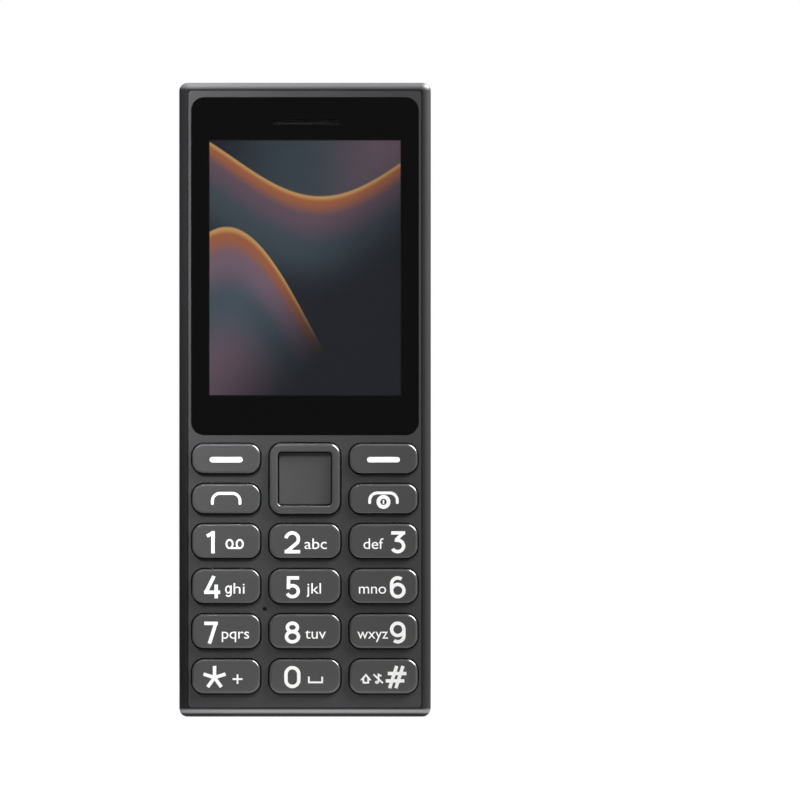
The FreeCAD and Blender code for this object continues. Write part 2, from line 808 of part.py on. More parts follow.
def nav_select():
    """The flat centre key, sunk below the ring and held by a flange under the ring's inner step."""
    size = nav_inner - 2 * select_clearance
    flange0 = ring_step_depth + select_flange_gap
    flange1 = flange0 + select_flange_thickness
    cap = nav_square(size, nav_inner_corner - select_clearance, select_recess, flange1)
    cap = cap.makeFillet(select_edge, edges_at_depth(cap, select_recess))
    flange = nav_square(size + 2 * select_flange_reach, nav_inner_corner, flange0, flange1)
    return joined([cap, flange, post(0, nav_level, plunger_radius, flange0, plunger_tip)])


# --- Keypad sheet, domes and board ----------------------------------------------------------------------------
def nav_dome_places():
    """The four domes under the ring and the one under the select key."""
    middle = (nav_size - pad_bar) / 2 - pad_inset
    offsets = ((0, 0), (middle, 0), (-middle, 0), (0, middle), (0, -middle))
    return [(x, nav_level + z) for x, z in offsets]


def mat_plate(depth0, depth1):
    """The outline that the mat and the dome film share, between two depths."""
    z0, z1 = keypad_base + mat_margin, keypad_top - mat_margin
    return plate(0, (z0 + z1) / 2, 2 * mat_side, z1 - z0, mat_corner, depth0, depth1)


def keypad_mat():
    """The silicone web behind the keys: a hole for each plunger, and feet that stand on the dome film."""
    depth1 = mat_depth + mat_thickness
    foot_end = board_depth - film_thickness - film_gap - board_gap
    foot_side = mat_side - mat_foot_inset
    feet = [
        post(x, lowest_row + (row + 0.5) * number_row_pitch, mat_foot_radius, mat_depth, foot_end)
        for row in range(3)
        for x in (-foot_side, key_gap_x, foot_side)
    ]
    sheet = joined([mat_plate(mat_depth, depth1)] + feet)
    holes = [post(x, z, plunger_radius + mat_hole_play, 0, depth1 + BEYOND) for _, x, z, _, _ in key_places()]
    holes.append(nav_square(nav_size + 2 * mat_hole_play, nav_corner, 0, depth1 + BEYOND))
    holes.append(post(-key_gap_x, mic_level, boot_radius + mat_hole_play, 0, depth1 + BEYOND))
    return sheet.cut(Part.makeCompound(holes))


def dome(x, z, depth):
    """A shallow snap dome standing forward from the given depth."""
    radius = (dome_radius ** 2 + dome_height ** 2) / (2 * dome_height)
    ball = Part.makeSphere(radius, Vector(x, y_at(depth - dome_height + radius), z))
    return ball.common(post(x, z, dome_radius, depth - dome_height - BEYOND, depth))


def dome_sheet():
    """The film on the board with a snap dome under each key, and a window for the microphone."""
    depth1 = board_depth - film_gap
    depth0 = depth1 - film_thickness
    window = mic_size / 2 + mic_film_margin
    film = mat_plate(depth0, depth1).cut(
        block(-key_gap_x - window, window - key_gap_x, 0, split_depth, mic_level - window, mic_level + window)
    )
    spots = [(x, z) for _, x, z, _, _ in key_places()] + nav_dome_places()
    return joined([film] + [dome(x, z, depth0 + film_gap / 2) for x, z in spots])


def main_board():
    width = 2 * (core_wall_half_width - board_play)
    height = upper_wall - lower_wall - 2 * board_play
    board = plate(0, core_middle, width, height, board_corner, board_depth, board_back)
    holes = [post(x, z, screw_radius + board_hole_play, 0, split_depth + BEYOND) for x, z, _ in screw_places()]
    return board.cut(Part.makeCompound(holes))


def board_part(x, z, width, height, thickness):
    """A component on the board's rear side."""
    return block(x - width / 2, x + width / 2, part_seat, part_seat + thickness, z - height / 2, z + height / 2)


def port_openings():
    """The openings in the core's lower end for the charging socket and the audio jack."""
    z1 = lower_wall + BEYOND
    half = jack_width / 2 + port_play
    rise = jack_thickness / 2 + port_play
    return [
        port(0, usb_depth, usb_width + 2 * port_play, usb_thickness + 2 * port_play,
             usb_thickness / 2 + port_play, 0, z1),
        block(jack_x - half, jack_x + half, jack_depth - rise, jack_depth + rise, 0, z1),
    ]


# --- Chassis --------------------------------------------------------------------------------------------------
def chassis_pockets():
    """The hollows of the chassis: over the board, over the two zones, the battery bay and the card well."""
    side = core_wall_half_width
    zone = side - zone_side_wall
    return [
        block(-side, side, 0, bay_floor_depth, lower_wall, upper_wall),
        block(-zone, zone, 0, zone_pocket_depth, lower_wall, bay_base - core_wall),
        block(-zone, zone, 0, zone_pocket_depth, card_well_top + core_wall, upper_wall),
        block(-bay_half_width, bay_half_width, bay_depth, body_depth, bay_base, bay_top),
        block(-bay_half_width, bay_half_width, bay_depth, body_depth, card_well_base, card_well_top),
    ]


def chassis():
    """The rear half of the core: battery bay, card well, screw posts, and a roof over each end zone."""
    core = core_solid()
    shell = core.common(depth_slice(split_depth + split_gap, body_depth))
    shell = shell.cut(Part.makeCompound(chassis_pockets()))
    posts = [post(x, z, radius, part_seat, screw_seat + post_head_room).common(core)
             for x, z, radius in screw_places()]
    lip = lip_ring(0, split_depth - lip_height, split_depth + 2 * split_gap)
    shell = joined([shell, lip] + posts)
    cuts = [post(x, z, screw_radius + screw_hole_play, 0, body_depth) for x, z, _ in screw_places()]
    cuts += [post(x, z, screw_head_radius + screw_hole_play, screw_seat, body_depth + BEYOND)
             for x, z, _ in screw_places()]
    cuts += socket_windows()
    cuts += guide_ribs(guide_slot_play, body_depth)
    cuts += port_openings()
    cuts.append(upright(torch_x, torch_depth, torch_radius + torch_play, upper_wall - BEYOND, body_height))
    cuts.append(speaker_window(0, 0, body_depth + BEYOND))
    cuts.append(connector_block(connector_play, 0, BEYOND))
    return shell.cut(Part.makeCompound(cuts))


def speaker_window(margin, depth0, depth1):
    """The opening in front of the loudspeaker's cone, widened by margin, between two depths."""
    width = speaker_width - 2 * speaker_window_margin + 2 * margin
    height = speaker_height - 2 * speaker_window_margin + 2 * margin
    return plate(speaker_x, speaker_level, width, height, speaker_window_corner, depth0, depth1)


def socket_places():
    """X, height, width and length of the two SIM sockets and the memory card socket."""
    return [
        (-sim_offset, sim_level, sim_width, sim_height),
        (sim_offset, sim_level, sim_width, sim_height),
        (0, memory_level, memory_width, memory_height),
    ]


def socket_windows():
    play = socket_play
    return [
        block(x - width / 2 - play, x + width / 2 + play, 0, body_depth, z - height / 2 - play,
              z + height / 2 + play)
        for x, z, width, height in socket_places()
    ]


def card_cage(place, slot_width):
    """A pressed cage on the board with a slot for a card, open at its lower end."""
    x, z, width, height = place
    slot = block(x - slot_width / 2, x + slot_width / 2, part_seat + socket_floor,
                 part_seat + socket_thickness - socket_lid, z - height, z + height / 2 - sim_stop)
    return board_part(x, z, width, height, socket_thickness).cut(slot)


def sim_socket(place):
    x, z, _, _ = place
    window = plate(x, z + sim_stop, sim_window_width, sim_window_height, sim_stop, part_seat + socket_floor,
                   body_depth)
    return card_cage(place, sim_slot_width).cut(window)


# --- Battery --------------------------------------------------------------------------------------------------
def contact_places():
    return [i * contact_pitch for i in (-1, 0, 1)]


def battery():
    """A flat pack with rolled long edges, three contact recesses in its upper end and a finger notch below."""
    pack = port(0, battery_depth + battery_thickness / 2, battery_width, battery_thickness, battery_corner,
                battery_base, battery_top)
    start = battery_depth + contact_recess_start
    half = contact_recess_width / 2
    recesses = [
        block(x - half, x + half, start, start + contact_recess_height, battery_top - contact_recess_depth,
              battery_top + BEYOND)
        for x in contact_places()
    ]
    notch = block(-finger_notch_width / 2, finger_notch_width / 2,
                  battery_depth + battery_thickness - finger_notch_depth, body_depth, battery_base - BEYOND,
                  battery_base + finger_notch_height)
    return pack.cut(Part.makeCompound(recesses + [notch]))


def connector_block(play, depth0, overrun):
    """The battery connector in the wall between bay and card well, or with play added, its opening."""
    half = connector_width / 2 + play
    return block(-half, half, depth0, battery_depth + connector_height + play, bay_top + play - overrun,
                 card_well_base - play + overrun)


def battery_connector():
    return connector_block(0, part_seat, -connector_play)


def battery_springs():
    """Three contact blades that stand out of the connector into the battery's recesses."""
    half = spring_width / 2
    start = battery_depth + contact_recess_start + spring_play
    end = start + contact_recess_height - 2 * spring_play
    foot = battery_top - contact_recess_depth + spring_play
    return Part.makeCompound([
        block(x - half, x + half, start, end, foot, bay_top + connector_play) for x in contact_places()
    ])


# --- Small parts ----------------------------------------------------------------------------------------------
def shield_can(z):
    """A pressed steel lid over the chips on the board's rear side."""
    inner = shield_height - shield_wall
    lid = board_part(0, z, shield_width, shield_length, shield_height)
    width, length = shield_width - 2 * shield_wall, shield_length - 2 * shield_wall
    hollow = block(-width / 2, width / 2, board_depth, part_seat + inner, z - length / 2, z + length / 2)
    return lid.cut(hollow)


def earpiece_speaker():
    depth0 = ledge_back + board_gap
    depth1 = depth0 + receiver_thickness
    level = lcd_base + lcd_height + receiver_gap + receiver_height / 2
    return plate(0, level, receiver_width, receiver_height, receiver_corner, depth0, depth1)


def microphone():
    half = mic_size / 2
    depth1 = board_depth - film_gap
    return block(-key_gap_x - half, half - key_gap_x, depth1 - mic_thickness, depth1, mic_level - half,
                 mic_level + half)


def microphone_boot():
    """The rubber sleeve that leads sound from the hole in the face to the microphone."""
    depth0 = face_plate + boot_gap
    depth1 = board_depth - film_gap - mic_thickness - boot_gap
    channel = post(-key_gap_x, mic_level, mic_hole_radius, 0, split_depth)
    return post(-key_gap_x, mic_level, boot_radius, depth0, depth1).cut(channel)


def usb_socket():
    """The steel shell of the charging socket, open downwards."""
    z0 = core_base + port_inset
    z1 = z0 + usb_length
    radius = usb_thickness / 2 - lcd_gap
    shell = port(0, usb_depth, usb_width, usb_thickness, radius, z0, z1)
    hollow = port(0, usb_depth, usb_width - 2 * usb_wall, usb_thickness - 2 * usb_wall, radius - usb_wall,
                  z0 - BEYOND, z1 - usb_back_wall)
    return shell.cut(hollow)


def usb_tongue():
    """The contact tongue in the charging socket, standing on its back wall."""
    z1 = core_base + port_inset + usb_length - usb_back_wall
    return block(-usb_tongue_width / 2, usb_tongue_width / 2, usb_depth - usb_tongue_thickness / 2,
                 usb_depth + usb_tongue_thickness / 2, z1 - usb_tongue_length, z1)


def audio_jack():
    z0 = core_base + jack_setback
    body = block(jack_x - jack_width / 2, jack_x + jack_width / 2, part_seat, part_seat + jack_thickness, z0,
                 z0 + jack_length)
    return body.cut(upright(jack_x, jack_depth, jack_bore_radius, z0 - BEYOND, z0 + jack_bore_length))


def torch_lens():
    z1 = core_top - torch_play
    return upright(torch_x, torch_depth, torch_radius, z1 - torch_lens_length, z1)


def torch_led():
    z1 = core_top - torch_play - torch_lens_length - torch_play
    half = torch_led_size / 2
    return block(torch_x - half, torch_x + half, part_seat, torch_depth + half, z1 - torch_led_length, z1)


def vibration_motor():
    return post(motor_x, upper_wall - motor_drop, motor_radius, part_seat, part_seat + motor_thickness)


def speaker_plate(inset, corner, depth0, depth1):
    return plate(speaker_x, speaker_level, speaker_width - 2 * inset, speaker_height - 2 * inset, corner,
                 depth0, depth1)


def loudspeaker():
    """A rectangular loudspeaker whose cone lies a little below its rim, facing the back."""
    frame = speaker_plate(0, speaker_corner, speaker_front - speaker_thickness, speaker_front)
    cone = speaker_plate(speaker_cone_border, speaker_corner, speaker_front - speaker_cone_depth, body_depth)
    return frame.cut(cone)


def speaker_gasket():
    depth0 = speaker_front + gasket_gap
    ring = speaker_plate(gasket_inset, speaker_corner, depth0, depth0 + gasket_thickness)
    return ring.cut(speaker_window(gasket_inset, 0, body_depth))


def speaker_mesh():
    depth0 = zone_pocket_depth + mesh_sink
    return speaker_window(-mesh_sink / 2, depth0, depth0 + mesh_thickness)


def antenna():
    """A thin slotted antenna stuck to the inside of the roof over the upper zone."""
    half = torch_x - 2 * torch_radius
    z0 = card_well_top + core_wall + antenna_margin
    z1 = upper_wall - antenna_margin
    depth1 = zone_pocket_depth - gasket_gap
    sheet = block(-half, half, depth1 - antenna_thickness, depth1, z0, z1)
    slots = [
        block(x - antenna_slot / 2, x + antenna_slot / 2, 0, body_depth, z0 + BEYOND, z1 + BEYOND)
        for x in (-antenna_slot_pitch, 0, antenna_slot_pitch)
    ]
    return sheet.cut(Part.makeCompound(slots))


def housing_screw(x, z):
    """A small pan-head screw with a hexagonal recess, its head towards the rear cover."""
    head = post(x, z, screw_head_radius, screw_seat, screw_seat + screw_head_height)
    shank = post(x, z, screw_radius, screw_seat - screw_length, screw_seat + BEYOND / 10)
    floor = y_at(screw_seat + screw_head_height - screw_drive_depth)
    reach = screw_drive_radius
    corners = [math.radians(60 * i) for i in range(7)]
    hexagon = [Vector(x + reach * math.cos(a), floor, z + reach * math.sin(a)) for a in corners]
    drive = Part.Face(Part.makePolygon(hexagon)).extrude(Vector(0, BEYOND, 0))
    return joined([head, shank]).cut(drive)


def housing_screws():
    return Part.makeCompound([housing_screw(x, z) for x, z, _ in screw_places()])


# --- All nodes ------------------------------------------------------------------------------------------------
def all_nodes():
    nodes = {
        "front_housing": front_housing(),
        "display_lens": display_lens(),
        "lens_mask": lens_mask(),
        "lens_adhesive": lens_adhesive(),
        "earpiece_mesh": earpiece_mesh(),
        "lcd_bezel": lcd_bezel(),
        "lcd_glass": lcd_glass(),
        "lcd_backlight": lcd_backlight(),
        "lcd_flex": lcd_flex(),
        "keypad_mat": keypad_mat(),
        "dome_sheet": dome_sheet(),
        "main_board": main_board(),
        "rf_shield": shield_can(battery_top - shield_gap - shield_length / 2),
        "baseband_shield": shield_can(battery_base + shield_gap + shield_length / 2),
        "earpiece_speaker": earpiece_speaker(),
        "microphone": microphone(),
        "microphone_boot": microphone_boot(),
        "usb_socket": usb_socket(),
        "usb_tongue": usb_tongue(),
        "audio_jack": audio_jack(),
        "torch_lens": torch_lens(),
        "torch_led": torch_led(),
        "vibration_motor": vibration_motor(),
        "loudspeaker": loudspeaker(),
        "speaker_gasket": speaker_gasket(),
        "speaker_mesh": speaker_mesh(),
        "antenna": antenna(),
        "chassis": chassis(),
        "battery": battery(),
        "battery_connector": battery_connector(),
        "battery_springs": battery_springs(),
        "sim_socket_1": sim_socket(socket_places()[0]),
        "sim_socket_2": sim_socket(socket_places()[1]),
        "card_socket": card_cage(socket_places()[2], memory_slot_width),
        "housing_screws": housing_screws(),
        "rear_cover": rear_cover(),
        "nav_pad": nav_pad(),
        "nav_ring": nav_ring(),
        "nav_select": nav_select(),
    }
    for name, x, z, width, height in key_places():
        nodes[name] = key_cap(x, z, width, height)
    return nodes


def main():
    os.makedirs("parts", exist_ok=True)
    for name, shape in all_nodes().items():
        if not shape.isValid():
            raise ValueError(name + " is not a valid shape")
        shape.exportStep(os.path.join("parts", name + ".step"))
        box = shape.BoundBox
        print(f"{name:18s} solids {len(shape.Solids)}  volume {shape.Volume:9.2f}  "
              f"size {box.XLength:6.2f} {box.YLength:6.2f} {box.ZLength:6.2f}")


main()
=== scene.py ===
"""Finish and fine parts of a bar-shaped keypad phone, laid over its solid model.

Metres. X is the width, seen from the front with the keypad below the screen, +Y runs from the front to the back,
and Z is up. Every piece keeps the place that the solid model gives it.
"""

import json
import math
from functools import partial

import bmesh
import bpy
from bpy.props import FloatProperty, FloatVectorProperty, PointerProperty
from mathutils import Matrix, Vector

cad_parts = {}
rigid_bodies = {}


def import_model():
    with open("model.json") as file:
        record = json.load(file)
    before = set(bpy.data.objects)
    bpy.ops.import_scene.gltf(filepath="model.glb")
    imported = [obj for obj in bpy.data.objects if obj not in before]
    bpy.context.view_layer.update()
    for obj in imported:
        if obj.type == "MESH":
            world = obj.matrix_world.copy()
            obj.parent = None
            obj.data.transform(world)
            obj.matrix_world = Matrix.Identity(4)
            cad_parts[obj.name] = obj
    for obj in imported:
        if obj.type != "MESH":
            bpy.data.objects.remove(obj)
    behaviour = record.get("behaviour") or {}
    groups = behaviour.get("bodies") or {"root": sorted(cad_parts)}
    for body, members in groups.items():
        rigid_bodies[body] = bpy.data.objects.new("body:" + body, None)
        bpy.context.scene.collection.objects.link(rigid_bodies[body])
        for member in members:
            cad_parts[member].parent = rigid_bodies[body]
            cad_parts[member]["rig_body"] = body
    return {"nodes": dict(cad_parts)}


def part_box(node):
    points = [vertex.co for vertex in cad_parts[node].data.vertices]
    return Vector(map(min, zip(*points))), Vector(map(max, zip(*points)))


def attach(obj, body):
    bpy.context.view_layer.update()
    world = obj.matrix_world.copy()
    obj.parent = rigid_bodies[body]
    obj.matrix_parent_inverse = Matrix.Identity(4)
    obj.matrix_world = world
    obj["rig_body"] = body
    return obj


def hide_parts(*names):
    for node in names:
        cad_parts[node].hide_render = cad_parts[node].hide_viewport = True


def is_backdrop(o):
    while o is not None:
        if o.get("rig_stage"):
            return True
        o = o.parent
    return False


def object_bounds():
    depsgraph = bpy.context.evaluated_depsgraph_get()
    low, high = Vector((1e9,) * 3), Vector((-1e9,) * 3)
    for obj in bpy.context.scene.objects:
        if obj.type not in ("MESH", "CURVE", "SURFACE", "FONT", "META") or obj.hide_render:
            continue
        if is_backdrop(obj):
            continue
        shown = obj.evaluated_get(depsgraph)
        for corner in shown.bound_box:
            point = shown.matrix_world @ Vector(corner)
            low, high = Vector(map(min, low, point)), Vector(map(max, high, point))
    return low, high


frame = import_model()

bl_info = {
    "name": "Keypad Phone",
    "version": (1, 0, 0),
    "blender": (4, 5, 0),
    "location": "View3D > Sidebar > Phone",
    "description": "Finishes, legends, meshes, screws and a studio for a bar-shaped keypad phone",
    "category": "Object",
}

MM = 0.001
HAIR = 1e-6  # points this close to a face's plane lie on it
LAYER = 0.002 * MM  # from one printed stroke to the next, so that no two faces coincide
GRAIN = 0.3 * MM  # the grain of the moulds is 0.1 mm and finer, and is drawn coarser to show as a soft, dull sheen
DRIFT = 14 * MM  # how far apart the colour of a moulding drifts
NODES = frame["nodes"]


def linear(hex_colour):
    """An sRGB hex colour as the linear values that sockets take."""
    channels = [int(hex_colour[i:i + 2], 16) / 255 for i in (1, 3, 5)]
    return tuple(c / 12.92 if c <= 0.04045 else ((c + 0.055) / 1.055) ** 2.4 for c in channels) + (1.0,)


def size(name, description, default):
    """A length that a user may change."""
    return FloatProperty(name=name, description=description, default=default * MM, min=0.0, unit="LENGTH", precision=5)


def watts(name, description, default):
    """A lamp's power that a user may change."""
    return FloatProperty(name=name, description=description, default=default, min=0.0, unit="POWER")


def colour(name, description, default):
    """A colour that a user may change."""
    return FloatVectorProperty(name=name, description=description, default=linear(default), size=4, min=0.0, max=1.0,
                               subtype="COLOR")


# --- What a user may change -----------------------------------------------------------------------------------
class PhoneColours(bpy.types.PropertyGroup):
    """Colours of the parts that show."""

    cover: colour("Rear cover", "Black polycarbonate of the rear cover", "#1A1A1B")
    # ends: colour of the satin-metal bands on the cover's rolled ends, a painted highlight
    ends: colour("Cover ends", "Metallic lacquer on the rolled ends of the rear cover", "#969699")
    housing: colour("Front housing", "Graphite paint of the front housing", "#373738")
    keys: colour("Keys", "Graphite paint of the keys", "#434344")
    legends: colour("Legends", "White printed digits and signs", "#FCFCFA")
    picture_night: colour("Picture, ground", "Dark ground of the picture", "#151A26")
    picture_slate: colour("Picture, slate", "Blue-grey of the folds", "#3E4A54")
    picture_mauve: colour("Picture, mauve", "Mauve of the folds", "#64505E")
    picture_ember: colour("Picture, ember", "Orange along the folds", "#A8623F")
    picture_gold: colour("Picture, gold", "Gold on the crests of the folds", "#D6A564")


class PhoneSizes(bpy.types.PropertyGroup):
    """Sizes of the printed legends and of the fine parts."""

    picture_width: size("Picture width", "Width of the lit picture of a 2.4 inch panel", 36.72)
    picture_height: size("Picture height", "Height of the lit picture of a 2.4 inch panel", 48.96)
    picture_base: size("Picture base", "From the lower edge of the lens to the picture", 7.65)
    digit_stroke: size("Digit stroke", "Stroke width of the printed digits", 0.66)
    letter_height: size("Letter height", "Height of the small letter x", 1.56)
    sign_stroke: size("Sign stroke", "Stroke width of the small signs", 0.34)
    print_thickness: size("Print thickness", "Thickness of the printed ink", 0.02)
    weave_pitch: size("Weave pitch", "Distance between two wires of the sound meshes", 0.3)
    weave_wire: size("Wire radius", "Radius of a wire of the sound meshes", 0.06)
    dish_depth: size("Dish depth", "How far the middle of the select key sinks", 0.12)


class StudioSettings(bpy.types.PropertyGroup):
    """Camera and lamps."""

    camera_distance: size("Camera distance", "From the camera to the front of the phone", 1200.0)
    view_width: size("View width", "Width that the view takes in at the front of the phone", 153.55)
    camera_side: size("Camera offset", "Camera to the right of the phone's middle", 18.27)
    camera_height: size("Camera height", "Camera above the floor", 60.9)
    ambient: FloatProperty(name="Ambient", description="Strength of the even light from all round", default=0.05,
                           min=0.0)
    key_lamp: watts("Key lamp", "Power of the gridded lamp at the upper left", 0.139)
    strip_lamp: watts("Strip lamp", "Power of the soft box overhead", 0.1)
    glint_lamp: watts("Glint lamp", "Power of the lamp at the upper right", 14.7)


# --- Nodes ----------------------------------------------------------------------------------------------------
def add(tree, kind, sockets=None, **settings):
    """Adds a node with its settings; a socket takes a value, a hex colour, a link, or a list of links."""
    kind = next(prefix + kind for prefix in ("ShaderNode", "GeometryNode", "") if hasattr(bpy.types, prefix + kind))
    made = tree.nodes.new(kind)
    for name, value in settings.items():
        setattr(made, name, value)
    for key, given in (sockets or {}).items():
        for value in given if isinstance(given, list) else [given]:
            if isinstance(value, bpy.types.Node):
                value = value.outputs[0]
            if isinstance(value, bpy.types.NodeSocket):
                tree.links.new(value, made.inputs[key])
            else:
                made.inputs[key].default_value = linear(value) if isinstance(value, str) else value
    return made


def speckle(node, pitch, low=None, high=None, place=None, detail=3.0):
    """Noise whose grains are about one pitch wide: as it comes, or spread so that most of it lies from low to high."""
    noise = node("TexNoise", {"Vector": place or node("TexCoord").outputs["Object"], "Scale": 1 / pitch,
                              "Detail": detail, "Roughness": 0.6})
    if low is None:
        return noise
    return node("MapRange", {"Value": noise, "From Min": 0.3, "From Max": 0.7, "To Min": low, "To Max": high})


def surface(node, share, dark, light, sockets, relief=None, depth=0.0, strength=1.0):
    """A surface that goes from a dark to a light colour with a share, and rises with its relief by up to a depth."""
    sockets["Base Color"] = node("Mix", {0: share, 6: dark, 7: light}, data_type="RGBA").outputs[2]
    if relief is not None:
        sockets["Normal"] = node("Bump", {"Height": relief, "Distance": depth, "Strength": strength})
    return node("BsdfPrincipled", sockets)


def shaded(value, share):
    """A colour made lighter or darker by a share."""
    value = linear(value) if isinstance(value, str) else value
    return tuple(min(1.0, c * share) for c in value[:3]) + (1.0,)


def material(name, build):
    """A material whose surface is what build makes with a maker of nodes. Each is made once."""
    made = bpy.data.materials.get(name)
    if made is None:
        made = bpy.data.materials.new(name)
        made.use_nodes = True
        made.node_tree.nodes.clear()
        node = partial(add, made.node_tree)
        node("OutputMaterial", {"Surface": build(node)})
    return made


# --- Materials ------------------------------------------------------------------------------------------------
def moulded(value, roughness, grain, depth, mottle=0.06):
    """Moulded plastic or rubber: an eroded grain that roughens the sheen, and a faint drift of the colour."""
    return lambda node: surface(
        node, speckle(node, DRIFT, 0.0, 1.0, detail=1.0), shaded(value, 1 - mottle), shaded(value, 1 + mottle),
        {"Roughness": speckle(node, grain, roughness * 0.94, roughness * 1.08), "IOR": 1.5},
        speckle(node, grain), depth)


def paint_with_edge_shade(value, front, edge, roughness, level, depth, mottle):
    """Graphite paint on a black moulding; past the front it goes to near-black over a depth of edge: painted shade on
    the rolled edges and in the gaps round the keys and openings.
    """

    def build(node):
        behind = node("SeparateXYZ", {"Vector": node("TexCoord").outputs["Object"]}).outputs["Y"]
        # Painted shade: behind the front face the colour goes from the paint to the near-black #0D0D0E.
        edge_shade = node("MapRange", {"Value": behind, "From Min": front + edge[0] * MM, "From Max": front + edge[1] * MM},
                    interpolation_type="SMOOTHSTEP")
        paint = node("Mix", {0: speckle(node, DRIFT, 0.0, 1.0, detail=1.0), 6: shaded(value, 1 - mottle),
                             7: shaded(value, 1 + mottle)}, data_type="RGBA").outputs[2]
        sheen = speckle(node, GRAIN, roughness * 0.94, roughness * 1.08)
        return surface(node, edge_shade, paint, "#0D0D0E", {"Roughness": sheen, "IOR": 1.55, "Specular IOR Level": level},
                       speckle(node, GRAIN), depth)

    return build


def key_paint(value, front):
    """A semi-gloss key: on its rolled edge the paint goes to near-black, a painted shade round the key, and the roll
    gives a tight glint.
    """
    return paint_with_edge_shade(value, front, (0.12, 0.28), 0.25, 1.0, 0.0002 * MM, 0.02)


def cover_skin(value, ends, low, high):
    """Eroded black polycarbonate with a dull sheen; its two rolled ends carry a lighter satin-metal band, a painted
    highlight for the light that the ends catch from above and below.
    """

    def build(node):
        height = node("SeparateXYZ", {"Vector": node("TexCoord").outputs["Object"]}).outputs["Z"]
        # The painted highlight comes up over the foot and fades out above it, and it comes up below the crown, which
        # stays black:
        # for each, the level it is measured from, where it fades from and to, and its greatest share.
        foot, lower, upper, crown = (
            node("MapRange", {"Value": height, "From Min": level + start * MM, "From Max": level + stop * MM,
                              "To Max": most}, interpolation_type="SMOOTHSTEP")
            for level, start, stop, most in ((low.z, 0.45, 0.95, 1.0), (low.z, 1.7, 1.25, 1.0),
                                             (high.z, -1.4, -0.6, 0.25), (high.z, -0.03, -0.15, 1.0)))
        bottom, top = (node("Math", {0: rise, 1: fall}, operation="MULTIPLY")
                       for rise, fall in ((lower, foot), (upper, crown)))
        # Painted highlight: a lighter satin-metal band low on the cover's end, and a fainter one near its top.
        painted_highlight = node("Math", {0: bottom, 1: top}, operation="MAXIMUM")
        share = node("MapRange", {"Value": painted_highlight, "From Max": 0.3, "To Min": 1.0, "To Max": 0.0})
        sheen = node("Mix", {0: painted_highlight, 2: speckle(node, GRAIN, 0.5, 0.58), 3: 0.28}, data_type="FLOAT")
        return surface(node, painted_highlight, value, ends,
                       {"Metallic": painted_highlight, "Roughness": sheen, "IOR": 1.45, "Specular IOR Level": 0.4},
                       speckle(node, GRAIN), 0.005 * MM, share)

    return build


def rolled(value, roughness):
    """Rolled or pressed sheet metal: fine lines along the rolling direction and a soft drift of the shine."""

    def build(node):
        lines = node("Mapping", {"Vector": node("TexCoord").outputs["Object"], "Scale": (1.0, 1.0, 0.04)})
        scratches = partial(speckle, node, 0.08 * MM, place=lines)
        return surface(node, speckle(node, 6 * MM, 0.0, 1.0, detail=1.0), shaded(value, 0.92), value,
                       {"Metallic": 1.0, "Roughness": scratches(roughness - 0.05, roughness + 0.08)},
                       scratches(), 0.002 * MM)

    return build


def clear_plastic(node):
    """Cast acrylic with a hard coat: clear, glossy, with the faintest waviness in its face."""
    wave = node("Bump", {"Height": speckle(node, 9 * MM, detail=0.0), "Distance": 0.0015 * MM, "Strength": 1.0})
    return node("BsdfPrincipled", {"Base Color": "#F8FAFA", "Roughness": 0.015, "IOR": 1.49,
                                   "Transmission Weight": 1.0, "Normal": wave})


def printed_black(node):
    """Black ink screened on the back of the lens: dense and even, with the faint grain of the screen."""
    grains = speckle(node, 0.2 * MM)
    return surface(node, grains, "#17171A", "#1B1B1E", {"Roughness": 0.5, "IOR": 1.5}, grains, 0.002 * MM)


def printed_white(value):
    """White pad-printed ink: matt, a little uneven where it lies thin on the grain of the key."""
    return lambda node: surface(node, speckle(node, 0.25 * MM, 0.0, 1.0), shaded(value, 0.96), value,
                                {"Roughness": 0.55, "IOR": 1.5}, speckle(node, 0.25 * MM), 0.004 * MM)


